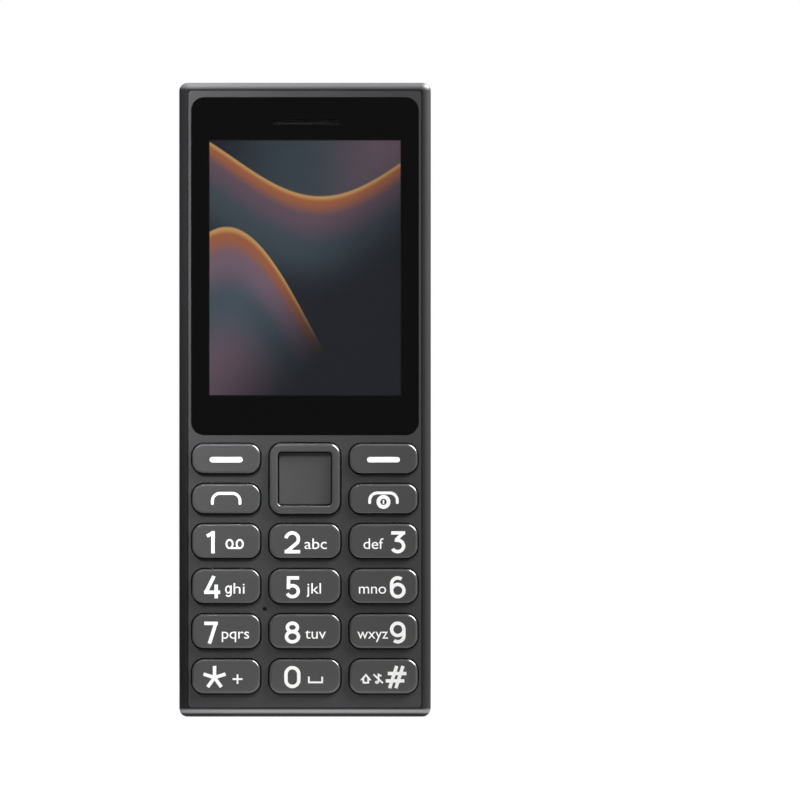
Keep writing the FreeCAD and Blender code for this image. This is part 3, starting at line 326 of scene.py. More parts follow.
def picture(palette, sizes):
    """A backlit liquid crystal panel inside its black border, with a picture of soft folds over a night ground."""

    def build(node):
        night, slate, mauve, ember, gold = (
            tuple(getattr(palette, "picture_" + name)) for name in ("night", "slate", "mauve", "ember", "gold"))
        place = node("SeparateXYZ", {"Vector": node("TexCoord").outputs["Object"]}).outputs
        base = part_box("display_lens")[0].z + sizes.picture_base
        across, up = (
            node("MapRange", {"Value": place[axis], "From Min": start, "From Max": start + reach}, clamp=False)
            for axis, start, reach in (("X", -sizes.picture_width / 2, sizes.picture_width),
                                       ("Z", base, sizes.picture_height)))
        faint = tuple(shaded(night, share) for share in (1.7, 1.4, 1.2, 1.0, 0.8))
        folds = (
            # level, swing, turns and phase of the crest, depth of the fold, and its colours from the crest down
            (0.93, 0.15, 0.55, 0.43, 0.46, (gold, ember, mauve, slate, night)),
            (0.22, 0.20, 0.45, 0.62, 0.50, faint),
            (0.26, 0.40, 0.56, 0.20, 0.62, (gold, ember, shaded(mauve, 1.5), shaded(slate, 1.3), shaded(mauve, 1.2))),
        )
        washes, edges = [(across, ((0.0, night), (0.45, shaded(slate, 0.8)), (1.0, mauve)))], []
        for level, swing, turns, phase, depth, tones in folds:
            angle = node("Math", {0: across, 1: turns * math.tau, 2: phase * math.tau}, operation="MULTIPLY_ADD")
            swell = node("Math", {0: angle}, operation="SINE")
            crest = node("Math", {0: swell, 1: swing, 2: level}, operation="MULTIPLY_ADD")
            below = node("Math", {0: crest, 1: up}, operation="SUBTRACT")
            share = node("Math", {0: below, 1: depth}, operation="DIVIDE")
            washes.append((share, tuple(zip((0.0, 0.05, 0.19, 0.45, 0.9), tones))))
            edges.append(node("MapRange", {"Value": below, "From Min": -0.004, "From Max": 0.004}))
        tints = []
        for factor, stops in washes:
            tint = node("ValToRGB", {"Fac": factor})
            tint.color_ramp.interpolation = "EASE"
            elements = tint.color_ramp.elements
            elements[0].position, elements[0].color = stops[0]
            elements[1].position, elements[1].color = stops[-1]
            for position, value in stops[1:-1]:
                elements.new(position).color = value
            tints.append(tint)
        # How far a point lies towards the lower right, where the picture fades to night.
        slope = node("Math", {0: across, 1: 0.9, 2: -0.05}, operation="MULTIPLY_ADD")
        slope = node("Math", {0: slope, 1: up}, operation="SUBTRACT")
        dusk = node("MapRange", {"Value": slope, "From Min": -0.3, "From Max": 0.35}, interpolation_type="SMOOTHSTEP")
        layers = [*zip(edges, tints[1:]), (dusk, shaded(night, 0.7))]
        for share in (across, up):
            off = node("Math", {0: share, 1: 0.5}, operation="SUBTRACT")
            off = node("Math", {0: off}, operation="ABSOLUTE")
            layers.append((node("Math", {0: off, 1: 0.5}, operation="GREATER_THAN"), "#000000"))
        shown = tints[0]
        for share, tint in layers:
            shown = node("Mix", {0: share, 6: shown, 7: tint}, data_type="RGBA").outputs[2]
        return node("BsdfPrincipled", {"Base Color": "#030304", "Roughness": 0.4, "IOR": 1.3,
                                       "Emission Color": shown, "Emission Strength": 0.8})

    return build


def woven_black(node):
    """Black polyester monofilament with a water-shedding dip: a dull thread, a little lighter on its crowns."""
    return surface(node, speckle(node, 0.1 * MM), "#0C0C0D", "#151516", {"Roughness": 0.6, "IOR": 1.55})


def board_surface(node):
    """Glass-fibre laminate under green solder mask: copper tracks show as lighter, raised paths with pads between."""
    tracks = node("TexBrick", {
        "Vector": node("Mapping", {"Vector": node("TexCoord").outputs["Object"], "Rotation": (math.pi / 2, 0.0, 0.0)}),
        "Color1": "#1C4A2C", "Color2": "#1C4A2C", "Mortar": "#123620", "Scale": 1.0,
        "Mortar Size": 0.12 * MM, "Brick Width": 3.1 * MM, "Row Height": 0.5 * MM,
    })
    return surface(node, speckle(node, 0.7 * MM, 0.0, 0.5), tracks, "#245B38",
                   {"Roughness": 0.32, "IOR": 1.5, "Coat Weight": 0.3}, tracks.outputs["Fac"], 0.02 * MM)


def polyimide_film(node):
    """Amber polyimide film with copper lines under it, which show as darker stripes through the film."""
    place = node("SeparateXYZ", {"Vector": node("TexCoord").outputs["Object"]})
    stripe = node("Math", {0: place, 1: math.tau / (0.5 * MM)}, operation="MULTIPLY")
    stripe = node("Math", {0: stripe}, operation="SINE")
    lines = node("MapRange", {"Value": stripe, "From Min": -0.1, "From Max": 0.1})
    return surface(node, lines, "#B8701E", "#7C3F12", {"Roughness": 0.25, "IOR": 1.7, "Coat Weight": 0.4})


def dome_film(node):
    """Clear polyester film over stainless snap domes: metal where a dome presses up, milky film between them."""
    return surface(node, speckle(node, GRAIN), "#B9BDC0", "#D5D8DA",
                   {"Metallic": 0.6, "Roughness": speckle(node, GRAIN, 0.25, 0.4)})


def battery_wrap(node):
    """Grey printed polyester label round an aluminium pouch cell: satin, with a slight wave where it covers a seam."""
    place = node("SeparateXYZ", {"Vector": node("TexCoord").outputs["Object"]}).outputs
    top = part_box("battery")[1].z
    band = node("MapRange", {"Value": place["Z"], "From Min": top - 4.6 * MM, "From Max": top - 4.5 * MM})
    return surface(node, band, "#3C3F44", "#17181A", {"Roughness": speckle(node, 0.25 * MM, 0.34, 0.42), "IOR": 1.55},
                   speckle(node, 5 * MM, detail=2.0), 0.12 * MM, 0.5)


def distance(node, point):
    """How far the surface lies from a point."""
    return node("VectorMath", {0: node("TexCoord").outputs["Object"], 1: point}, operation="DISTANCE").outputs["Value"]


def phosphor(node):
    """White light-emitting diode: a white case with a yellow phosphor disc in its middle."""
    low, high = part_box("torch_led")
    away = distance(node, ((low.x + high.x) / 2, (low.y + high.y) / 2, high.z))
    disc = node("MapRange", {"Value": away, "From Min": 1.0 * MM, "From Max": 1.05 * MM})
    return surface(node, disc, "#E8C84A", "#E9E9E6", {"Roughness": 0.4})


def cone_paper(node):
    """The pressed black paper of the loudspeaker's cone, with concentric ridges."""
    low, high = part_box("loudspeaker")
    away = distance(node, ((low.x + high.x) / 2, high.y, (low.z + high.z) / 2))
    wave = node("Math", {0: away, 1: math.tau / (1.1 * MM)}, operation="MULTIPLY")
    wave = node("Math", {0: wave}, operation="SINE")
    return surface(node, speckle(node, 0.4 * MM), shaded("#202022", 0.85), "#202022", {"Roughness": 0.55},
                   wave, 0.05 * MM, 0.6)


def finishes():
    """The finish of every node and fine part, under the common name of what it is made of."""
    tones = bpy.context.scene.phone_colours
    cover, ends, housing, keys, legends = (
        tuple(getattr(tones, name)) for name in ("cover", "ends", "housing", "keys", "legends"))
    front, key_front, ring_front, select_front = (
        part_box(node)[0].y for node in ("front_housing", "key_1", "nav_ring", "nav_select"))
    table = (
        ("rear_cover", "polycarbonate_eroded_black", cover_skin(cover, ends, *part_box("rear_cover"))),
        ("front_housing", "abs_painted_graphite", paint_with_edge_shade(housing, front, (0.15, 0.5), 0.46, 0.5, 0.006 * MM, 0.06)),
        ("key", "polycarbonate_painted_key", key_paint(keys, key_front)),
        ("nav_ring", "polycarbonate_painted_ring", key_paint(keys, ring_front)),
        ("nav_select", "polycarbonate_painted_select", key_paint(keys, select_front + 0.1 * MM)),
        ("legend", "pad_print_white", printed_white(legends)),
        ("display_lens torch_lens", "acrylic_cast_clear", clear_plastic),
        ("lens_mask", "screen_print_black", printed_black),
        ("lens_adhesive", "acrylic_foam_tape_black", moulded("#121213", 0.8, 0.2 * MM, 0.02 * MM)),
        ("lcd_glass", "liquid_crystal_panel", picture(tones, bpy.context.scene.phone_sizes)),
        ("lcd_backlight", "reflector_film_white", moulded("#E4E5E6", 0.25, 2.0 * MM, 0.002 * MM)),
        ("lcd_flex antenna", "polyimide_film_amber", polyimide_film),
        ("lcd_bezel sim_socket_1 sim_socket_2 card_socket usb_socket", "stainless_steel_rolled",
         rolled("#B6B6B4", 0.32)),
        ("rf_shield baseband_shield microphone vibration_motor", "nickel_silver_pressed", rolled("#A9A59A", 0.36)),
        ("mesh", "polyester_woven_black", woven_black),
        ("felt", "polyester_felt_black", moulded("#0C0C0D", 0.9, 0.15 * MM, 0.02 * MM)),
        ("keypad_mat nav_pad", "silicone_rubber_grey", moulded("#A3A6A8", 0.6, 0.5 * MM, 0.006 * MM)),
        ("microphone_boot", "silicone_rubber_black", moulded("#111112", 0.7, 0.5 * MM, 0.006 * MM)),
        ("dome_sheet", "polyester_dome_film", dome_film),
        ("main_board", "glass_fibre_laminate_green", board_surface),
        ("usb_tongue audio_jack battery_connector earpiece_speaker", "nylon_glass_filled_black",
         moulded("#19191A", 0.5, 0.35 * MM, 0.01 * MM)),
        ("torch_led", "diode_white_case", phosphor),
        ("loudspeaker", "paper_cone_black", cone_paper),
        ("speaker_gasket", "polyurethane_foam_black", moulded("#161617", 0.9, 0.35 * MM, 0.08 * MM)),
        ("chassis", "polycarbonate_glass_filled_black", moulded("#202022", 0.52, 0.4 * MM, 0.012 * MM, mottle=0.08)),
        ("battery", "polyester_label_grey", battery_wrap),
        ("battery_springs contact", "bronze_gold_plated", rolled("#E0B45C", 0.22)),
        ("screw", "steel_screw_black_zinc", rolled("#5A5A5C", 0.3)),
    )
    return {node: material(name, build) for nodes, name, build in table for node in nodes.split()}


# --- Meshes ---------------------------------------------------------------------------------------------------
def placed(name, data):
    """A new object in the scene that holds some data."""
    made = bpy.data.objects.new(name, data)
    bpy.context.scene.collection.objects.link(made)
    return made


def new_piece(name, mesh, finish, node, replaces=False):
    """Puts a mesh into the scene with a finish, as a piece that rides with a node, or stands for it."""
    mesh.materials.clear()
    mesh.materials.append(finish)
    piece = placed(name, mesh)
    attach(piece, NODES[node]["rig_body"])
    if replaces:
        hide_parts(node)


def mesh_of(name, form):
    """A form as a mesh; the form itself goes."""
    mesh = bpy.data.meshes.new(name)
    form.to_mesh(mesh)
    form.free()
    return mesh


def evaluated(carrier):
    """The carrier's mesh with its modifiers applied; the carrier itself goes."""
    bpy.context.view_layer.update()
    graph = bpy.context.evaluated_depsgraph_get()
    mesh = bpy.data.meshes.new_from_object(carrier.evaluated_get(graph))
    mesh.name = carrier.name
    carrier.modifiers.clear()
    bpy.data.objects.remove(carrier)
    return mesh


def merged(node):
    """A copy of a node's skin with its doubles merged."""
    form = bmesh.new()
    form.from_mesh(NODES[node].data)
    bmesh.ops.remove_doubles(form, verts=form.verts, dist=0.0005 * MM)
    bmesh.ops.dissolve_degenerate(form, edges=form.edges, dist=0.0002 * MM)
    return form


def finished(node, finish, form=None):
    """A node as a clean skin with its finish: smooth where it curves, crisp at its edges, and flat where it is flat."""
    name = "skin_" + node
    mesh = mesh_of(name, form or merged(node))
    for layer in ("custom_normal", "sharp_edge", "sharp_face"):
        if layer in mesh.attributes:
            mesh.attributes.remove(mesh.attributes[layer])
    mesh.shade_smooth()
    mesh.set_sharp_from_angle(angle=math.radians(32.0))
    carrier = placed(name, mesh)
    carrier.modifiers.new("Weights", "WEIGHTED_NORMAL").keep_sharp = True
    new_piece(name, evaluated(carrier), finish, node, replaces=True)


def corners_of(points):
    """The lowest and the highest corner of some points."""
    points = list(points)
    return [Vector(pick(p[axis] for p in points) for axis in range(3)) for pick in (min, max)]


def islands(node):
    """Lowest and highest corner of each separate solid in a node."""
    form = merged(node)
    left, found = set(form.verts), []
    while left:
        edge, group = [left.pop()], []
        while edge:
            vertex = edge.pop()
            group.append(vertex.co.copy())
            for other in (link.other_vert(vertex) for link in vertex.link_edges):
                if other in left:
                    left.discard(other)
                    edge.append(other)
        found.append(corners_of(group))
    form.free()
    return sorted(found, key=lambda corners: (round(corners[0].z, 4), corners[0].x))


def dished(node, depth):
    """A node's skin with its front face cut into a fine net and sunk towards the middle."""
    form = merged(node)
    front = min(v.co.y for v in form.verts)
    low, high = corners_of(v.co for v in form.verts if v.co.y < front + HAIR)
    steps = 14
    for normal in (Vector((1.0, 0.0, 0.0)), Vector((0.0, 0.0, 1.0))):
        for i in range(1, steps):
            everything = list(form.verts) + list(form.edges) + list(form.faces)
            bmesh.ops.bisect_plane(form, geom=everything, plane_co=low + (high - low) * (i / steps), plane_no=normal,
                                   dist=1e-7)
    middle, half = (low + high) / 2, (high - low) / 2
    for vertex in form.verts:
        if vertex.co.y < front + HAIR:
            u, v = (vertex.co.x - middle.x) / half.x, (vertex.co.z - middle.z) / half.z
            vertex.co.y += depth * max(0.0, 1 - u * u) * max(0.0, 1 - v * v)
    return form


def thinned(node, cut, front):
    """A node's skin with its front or its rear face moved inwards, to make room for the cloth over it."""
    form = merged(node)
    low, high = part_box(node)
    for vertex in form.verts:
        if front and vertex.co.y < low.y + HAIR:
            vertex.co.y += cut
        if not front and vertex.co.y > high.y - HAIR:
            vertex.co.y -= min(cut, (high.y - low.y) * 0.8)
    return form


# --- Geometry trees -------------------------------------------------------------------------------------------
def geometry_tree(name, inputs):
    """A geometry tree with named inputs and usual values; returns it with its maker of nodes and its inputs."""
    tree = bpy.data.node_groups.new(name, "GeometryNodeTree")
    tree.interface.new_socket("Places", in_out="INPUT", socket_type="NodeSocketGeometry")
    for label, usual in inputs.items():
        kind = {float: "NodeSocketFloat", int: "NodeSocketInt", tuple: "NodeSocketVector"}[type(usual)]
        tree.interface.new_socket(label, in_out="INPUT", socket_type=kind).default_value = usual
    tree.interface.new_socket("Material", in_out="INPUT", socket_type="NodeSocketMaterial")
    tree.interface.new_socket("Pieces", in_out="OUTPUT", socket_type="NodeSocketGeometry")
    node = partial(add, tree)
    return tree, node, {socket.name: socket for socket in node("NodeGroupInput").outputs}


def close_tree(tree, node, given, piece, turn=(0.0, 0.0, 0.0)):
    """Ends a tree with its piece set at each place, as real geometry with its material."""
    set_out = node("InstanceOnPoints", {"Points": given["Places"], "Instance": piece, "Rotation": turn})
    real = node("RealizeInstances", {"Geometry": set_out})
    node("NodeGroupOutput", {0: node("SetMaterial", {"Geometry": real, "Material": given["Material"]})})
    return tree


def grown(name, tree, places, values, finish, node, replaces=False):
    """Runs a geometry tree on a set of places and keeps the result as a plain piece that rides with a node."""
    mesh = bpy.data.meshes.new(name)
    mesh.from_pydata([tuple(p) for p in places], [], [])
    carrier = placed(name, mesh)
    modifier = carrier.modifiers.new(tree.name, "NODES")
    modifier.node_group = tree
    values["Material"] = finish
    for item in tree.interface.items_tree:
        if item.item_type == "SOCKET" and item.in_out == "INPUT" and item.name in values:
            modifier[item.identifier] = values[item.name]
    mesh = evaluated(carrier)
    if not mesh.polygons:
        raise RuntimeError(f"{name} came out empty")
    new_piece(name, mesh, finish, node, replaces)


def screw_tree():
    """Pan-head screws with a hexagonal recess, one at each place, their heads towards +Y."""
    tree, node, given = geometry_tree("housing_screws", {
        "Head Radius": 1.2 * MM, "Head Height": 0.8 * MM, "Drive Radius": 0.5 * MM, "Drive Depth": 0.45 * MM,
        "Shank Radius": 0.7 * MM, "Shank Length": 6.2 * MM, "Edge": 0.8,
    })
    head = node("MeshCylinder", {"Vertices": 48, "Side Segments": 2, "Radius": given["Head Radius"],
                                 "Depth": given["Head Height"]}).outputs
    head = node("ScaleElements", {"Geometry": head["Mesh"], "Selection": head["Top"], "Scale": given["Edge"]})
    deep = node("Math", {0: given["Drive Depth"], 1: 2.0}, operation="MULTIPLY")
    drive = node("MeshCylinder", {"Vertices": 6, "Radius": given["Drive Radius"], "Depth": deep})
    raised = node("CombineXYZ", {"Z": node("Math", {0: given["Head Height"], 1: 0.5}, operation="MULTIPLY")})
    drive = node("Transform", {"Geometry": drive, "Translation": raised})
    head = node("MeshBoolean", {0: head, 1: drive}, operation="DIFFERENCE")
    shank = node("MeshCylinder", {"Vertices": 32, "Radius": given["Shank Radius"], "Depth": given["Shank Length"]})
    fall = node("Math", {0: given["Shank Length"], 1: given["Head Height"]}, operation="ADD")
    fall = node("Math", {0: fall, 1: -0.5}, operation="MULTIPLY")
    shank = node("Transform", {"Geometry": shank, "Translation": node("CombineXYZ", {"Z": fall})})
    screw = node("JoinGeometry", {"Geometry": [head, shank]})
    screw = node("Transform", {"Geometry": screw, "Translation": raised})
    return close_tree(tree, node, given, screw, (-math.pi / 2, 0.0, 0.0))


def pad_tree():
    """A row of flat contact pads, centred on each place and running along X."""
    tree, node, given = geometry_tree("contact_pads", {
        "Count": 12, "Pitch": 0.5 * MM, "Pad Size": (0.25 * MM, 0.03 * MM, 2.6 * MM),
    })
    start = given["Count"]
    for operation, value in (("ADD", -1.0), ("MULTIPLY", given["Pitch"]), ("MULTIPLY", -0.5)):
        start = node("Math", {0: start, 1: value}, operation=operation)
    row = node("MeshLine", {"Count": given["Count"], "Start Location": node("CombineXYZ", {"X": start}),
                            "Offset": node("CombineXYZ", {"X": given["Pitch"]})})
    pad = node("MeshCube", {"Size": given["Pad Size"]})
    return close_tree(tree, node, given, node("InstanceOnPoints", {"Points": row, "Instance": pad}))


def weave_tree():
    """Plain-woven wire cloth in the XZ plane, cut to a rounded outline and laid at each place."""
    tree, node, given = geometry_tree("sound_mesh", {
        "Half Width": 6.0 * MM, "Half Height": 0.5 * MM, "Corner": 0.4 * MM, "Pitch": 0.3 * MM,
        "Wire Radius": 0.06 * MM,
    })
    pitch, corner, radius = given["Pitch"], given["Corner"], given["Wire Radius"]
    place = node("SeparateXYZ", {"Vector": node("InputPosition")}).outputs
    wave = []
    for axis in "XZ":
        turn = node("Math", {0: place[axis], 1: pitch}, operation="DIVIDE")
        turn = node("Math", {0: turn, 1: math.pi}, operation="MULTIPLY")
        wave.append(node("Math", {0: turn}, operation="COSINE"))
    rise = node("Math", {0: wave[0], 1: wave[1]}, operation="MULTIPLY")
    rise = node("Math", {0: rise, 1: radius}, operation="MULTIPLY")
    # Distance outside the outline's inner rectangle: a wire is kept where it is less than the corner radius.
    beyond = []
    for axis, half in (("X", "Half Width"), ("Z", "Half Height")):
        reach = node("Math", {0: given[half], 1: corner}, operation="SUBTRACT")
        out = node("Math", {0: place[axis]}, operation="ABSOLUTE")
        out = node("Math", {0: out, 1: reach}, operation="SUBTRACT")
        beyond.append(node("Math", {0: out, 1: 0.0}, operation="MAXIMUM"))
    away = node("VectorMath", {0: node("CombineXYZ", {"X": beyond[0], "Y": beyond[1]})}, operation="LENGTH")
    inside = node("Math", {0: corner, 1: radius}, operation="SUBTRACT")
    outside = node("Math", {0: away.outputs["Value"], 1: inside}, operation="GREATER_THAN")
    step = node("Math", {0: pitch, 1: 0.25}, operation="MULTIPLY")
    cloth = []
    for along, across, half_along, half_across, sign in (("X", "Z", "Half Width", "Half Height", 1.0),
                                                         ("Z", "X", "Half Height", "Half Width", -1.0)):
        count = node("Math", {0: given[half_across], 1: pitch}, operation="DIVIDE")
        count = node("Math", {0: count}, operation="FLOOR")
        first = node("Math", {0: count, 1: pitch}, operation="MULTIPLY")
        first = node("Math", {0: first, 1: -1.0}, operation="MULTIPLY")
        total = node("Math", {0: count, 1: 2.0, 2: 1.0}, operation="MULTIPLY_ADD")
        lines = node("MeshLine", {"Count": total, "Start Location": node("CombineXYZ", {across: first}),
                                  "Offset": node("CombineXYZ", {across: pitch})})
        back = node("Math", {0: given[half_along], 1: -1.0}, operation="MULTIPLY")
        wire = node("CurvePrimitiveLine", {"Start": node("CombineXYZ", {along: back}),
                                           "End": node("CombineXYZ", {along: given[half_along]})})
        wire = node("ResampleCurve", {"Curve": wire, "Length": step}, mode="LENGTH")
        wires = node("InstanceOnPoints", {"Points": lines, "Instance": wire})
        lift = node("CombineXYZ", {"Y": node("Math", {0: rise, 1: sign}, operation="MULTIPLY")})
        wires = node("SetPosition", {"Geometry": node("RealizeInstances", {"Geometry": wires}), "Offset": lift})
        cloth.append(node("DeleteGeometry", {"Geometry": wires, "Selection": outside}, domain="POINT"))
    wires = node("CurveToMesh", {"Curve": node("JoinGeometry", {"Geometry": cloth}), "Fill Caps": True,
                                 "Profile Curve": node("CurvePrimitiveCircle", {"Resolution": 5, "Radius": radius})})
    return close_tree(tree, node, given, wires)


# --- Printed legends ------------------------------------------------------------------------------------------
def arc(x, z, rx, rz, start, finish, steps=28):
    """Points on an elliptical arc, its angles in degrees, anticlockwise from +X as seen from the front."""
    turns = [math.radians(start + (finish - start) * i / steps) for i in range(steps + 1)]
    return [(x + rx * math.cos(t), z + rz * math.sin(t)) for t in turns]


def strokes(sign, w, h, t):
    """The middle lines of a sign's strokes, in a box of width w and height h, for a stroke of width t."""
    e = t / 2
    r, s = w / 2 - e, h / 2 - e
    wing, neck, curl = 0.44 * h, 0.24 * w, 0.25 * w
    return {
        "1": [[(e * 0.6, h - 1.45 * t), (w - e, h - e * 1.05)], [(w - e, h), (w - e, 0)]],
        "2": [arc(w / 2, h - e - r, r, r, 172, -38) + [(e * 1.2, e * 0.9)], [(0.02 * w, e), (w, e)]],
        "3": [[(0.06 * w, h - e), (0.97 * w, h - e)], [(0.86 * w, h - e * 0.9), (0.36 * w, 0.6 * h)],
              [(0.3 * w, 0.615 * h)] + arc(0.48 * w, 0.335 * h, r, 0.335 * h - e, 100, -150)],
        "4": [[(0.62 * w, h), (0.12 * w, 0.2 * h + e * 0.8)], [(0.02 * w, 0.2 * h + e), (w, 0.2 * h + e)],
              [(0.76 * w, 0.62 * h), (0.76 * w, 0)]],
        "5": [[(0.1 * w, h - e), (0.93 * w, h - e)], [(0.1 * w + e, h), (0.08 * w + e, 0.42 * h)],
              [(0.08 * w + e * 0.6, 0.46 * h)] + arc(0.48 * w, 0.325 * h, r * 1.02, 0.325 * h - e, 125, -155)],
        "6": [arc(w / 2, h - e - r * 0.98, r, r * 0.98, 52, 180) + [(e, w / 2)],
              arc(w / 2, w / 2, r, r, 180, 540, 48)],
        "7": [[(0, h - e), (w, h - e)], [(w - e * 1.05, h - e * 0.6), (0.38 * w, 0)]],
        "8": [arc(w / 2, h - e - 0.45 * s, r * 0.8, 0.45 * s, 0, 360, 48),
              arc(w / 2, e + 0.55 * s, r * 0.95, 0.55 * s, 0, 360, 48)],
        "9": [arc(w / 2, h - r - e, r, r, 0, 360, 48),
              [(w - e, h - r - e)] + arc(w / 2, e + r * 0.98, r, r * 0.98, 0, -128)],
        "0": [arc(w / 2, h - e - r, r, r, 0, 180) + arc(w / 2, e + r, r, r, 180, 360) + [(w / 2 + r, h - e - r)]],
        "*": [[(w / 2, 0.47 * h), (w / 2 + 0.53 * h * math.cos(a), 0.47 * h + 0.53 * h * math.sin(a))]
              for a in (math.radians(90 + 72 * i) for i in range(5))],
        "#": [[(0.19 * w, 0), (0.53 * w, h)], [(0.49 * w, 0), (0.83 * w, h)],
              [(0.1 * w, 0.66 * h), (w, 0.66 * h)], [(0.0, 0.33 * h), (0.9 * w, 0.33 * h)]],
        "voicemail": [arc(e + s * 0.76, h / 2, s * 0.76, s, -90, 270, 40),
                      arc(w - e - s * 0.76, h / 2, s * 0.76, s, -90, 270, 40),
                      [(e + s * 0.7, e), (w - e - s * 0.7, e)]],
        "plus": [[(0, h / 2), (w, h / 2)], [(w / 2, 0), (w / 2, h)]],
        "space": [[(e, h), (e, e), (w - e, e), (w - e, h)]],
        "shift": [[(w / 2, h - e), (e, wing), (neck, wing), (neck, e), (w - neck, e), (w - neck, wing),
                   (w - e, wing), (w / 2, h - e)]],
        "silent": [[(0.55 * w, 0.16 * h), (0.55 * w, 0.92 * h), (0.86 * w, 0.78 * h)],
                   [(0.02 * w, 0.95 * h), (w, 0.08 * h)], arc(0.38 * w, 0.16 * h, 0.13 * w, 0.07 * h, 0, 360, 20)],
        "bar": [[(e, h / 2), (w - e, h / 2)]],
        "g": [arc(0.47 * w, 0.644 * h, 0.47 * w - e, 0.356 * h - e, 0, 360, 40),
              [(w - e, h)] + arc(0.5 * w, e + 0.42 * w, 0.5 * w - e, 0.42 * w, 0, -150, 24)],
        "handset": [[(e, e)] + arc(e + curl, h - e - curl, curl, curl, 180, 90, 12)
                    + arc(w - e - curl, h - e - curl, curl, curl, 90, 0, 12) + [(w - e, e)]],
    }[sign]


class Print:
    """Flat print on a key. Each stroke lies a hair in front of the last, so that no two faces coincide."""

    def __init__(self, front):
        self.form = bmesh.new()
        self.depth = front

    def corners(self, points):
        return [self.form.verts.new((x, self.depth, z)) for x, z in points]

    def ribbon(self, line, width, rounded=False):
        """A flat band along a line of (x, z) points, its ends cut square or rounded."""
        points = [Vector(p) for p in line]
        points = [p for i, p in enumerate(points) if i == 0 or (p - points[i - 1]).length > 1e-7]
        closed = len(points) > 3 and (points[0] - points[-1]).length < HAIR
        if closed:
            points.pop()
        half, count, left, right = width / 2, len(points), [], []
        for i, point in enumerate(points):
            before = points[i - 1] if i or closed else None
            after = points[(i + 1) % count] if i < count - 1 or closed else None
            runs = [(b - a).normalized() for a, b in ((before, point), (point, after)) if a and b]
            normals = [Vector((-run.y, run.x)) for run in runs]
            middle = sum(normals, Vector((0, 0))).normalized()
            reach = half / max(0.35, middle.dot(normals[0]))
            left.append(point + middle * reach)
            right.append(point - middle * reach)
        left, right = self.corners(left), self.corners(right)
        for i in range(count if closed else count - 1):
            j = (i + 1) % count
            self.form.faces.new((left[i], right[i], right[j], left[j]))
        self.depth -= LAYER
        if rounded and not closed:
            for tip in (points[0], points[-1]):
                self.disc(tip.x, tip.y, half)

    def disc(self, x, z, radius, hole=0.0):
        """A flat disc, or a flat ring."""
        turns = [math.tau * i / 40 for i in range(40)]
        outer, inner = (self.corners([(x + reach * math.cos(a), z + reach * math.sin(a)) for a in turns])
                        if reach else [] for reach in (radius, hole))
        if hole:
            for i in range(len(turns)):
                j = (i + 1) % len(turns)
                self.form.faces.new((outer[i], outer[j], inner[j], inner[i]))
        else:
            self.form.faces.new(outer)
        self.depth -= LAYER

    def lettering(self, text, x0, x1, base, x_height):
        """Small letters between two X values, standing on a base line."""
        source = bpy.data.curves.new(text, "FONT")
        source.body = text
        source.resolution_u = 6
        mesh = evaluated(placed(text, source))
        left, right = (pick(v.co.x for v in mesh.vertices) for pick in (min, max))
        wide, tall = (x1 - x0) / (right - left), x_height / 0.53
        for vertex in mesh.vertices:
            vertex.co = (x0 + (vertex.co.x - left) * wide, self.depth, base + vertex.co.y * tall)
        self.form.from_mesh(mesh)
        bpy.data.meshes.remove(mesh)
        self.depth -= LAYER

    def laid_on(self, key, thickness, finish):
        """Gives the print its thickness and puts it on its key."""
        for face in self.form.faces:
            face.normal_update()
            if face.normal.y > 0:
                face.normal_flip()
        carrier = placed("print_" + key, mesh_of("print_" + key, self.form))
        solid = carrier.modifiers.new("Ink", "SOLIDIFY")
        solid.thickness, solid.offset = thickness, -1.0
        new_piece("print_" + key, evaluated(carrier), finish, key)


# Each key's print: the sign or the letters, and the box as left, right, base and top, in millimetres from the key's
# middle. Letters have a height of their own.
LEGENDS = {
    "key_soft_left": [("bar", -3.16, 3.16, -0.79, 0.38)],
    "key_soft_right": [("bar", -3.16, 3.16, -0.79, 0.38)],
    "key_call": [("handset", -2.92, 2.92, -1.17, 1.3)],
    "key_end": [("handset", -2.92, 2.92, -1.0, 1.38), ("ring", 0.0, 0.0, -0.61, 0.0)],
    "key_1": [("1", -3.88, -2.21, -2.36, 1.9), ("voicemail", -0.12, 3.38, -1.52, 0.4)],
    "key_2": [("2", -3.95, -0.9, -2.36, 1.9), ("abc", -0.06, 4.22, -1.5, 0.0)],
    "key_3": [("3", 1.31, 4.24, -2.36, 1.9), ("def", -3.84, 0.0, -1.5, 0.0)],
    "key_4": [("4", -4.28, -1.17, -2.34, 1.92), ("g", -0.19, 1.07, -2.05, 0.14), ("hi", 1.42, 3.55, -1.42, 0.0)],
    "key_5": [("5", -3.72, -0.9, -2.34, 1.92), ("jkl", 0.31, 3.11, -1.42, 0.0)],
    "key_6": [("6", 1.23, 4.24, -2.34, 1.92), ("mno", -4.72, 0.5, -1.42, 0.0)],
    "key_7": [("7", -4.2, -1.59, -2.34, 1.86), ("pqrs", -0.84, 4.41, -1.4, 0.0)],
    "key_8": [("8", -3.92, -0.84, -2.34, 1.88), ("tuv", 0.06, 4.05, -1.4, 0.0)],
    "key_9": [("9", 1.23, 4.24, -2.34, 1.88), ("wxyz", -5.01, 0.86, -1.4, 0.0)],
    "key_star": [("*", -4.28, -0.19, -2.2, 2.0), ("plus", 1.23, 3.13, -1.43, 0.41)],
    "key_0": [("0", -3.95, -0.84, -2.26, 2.0), ("space", 0.6, 3.5, -1.31, -0.03)],
    "key_hash": [("#", 0.42, 4.41, -2.26, 2.0), ("shift", -4.28, -2.5, -1.37, 0.47),
                 ("silent", -1.95, -0.12, -1.43, 0.5)],
}
OWN_STROKES = {"bar": 1.05 * MM, "handset": 0.54 * MM, "g": 0.27 * MM}
LETTERS = ("abc", "def", "hi", "jkl", "mno", "pqrs", "tuv", "wxyz")


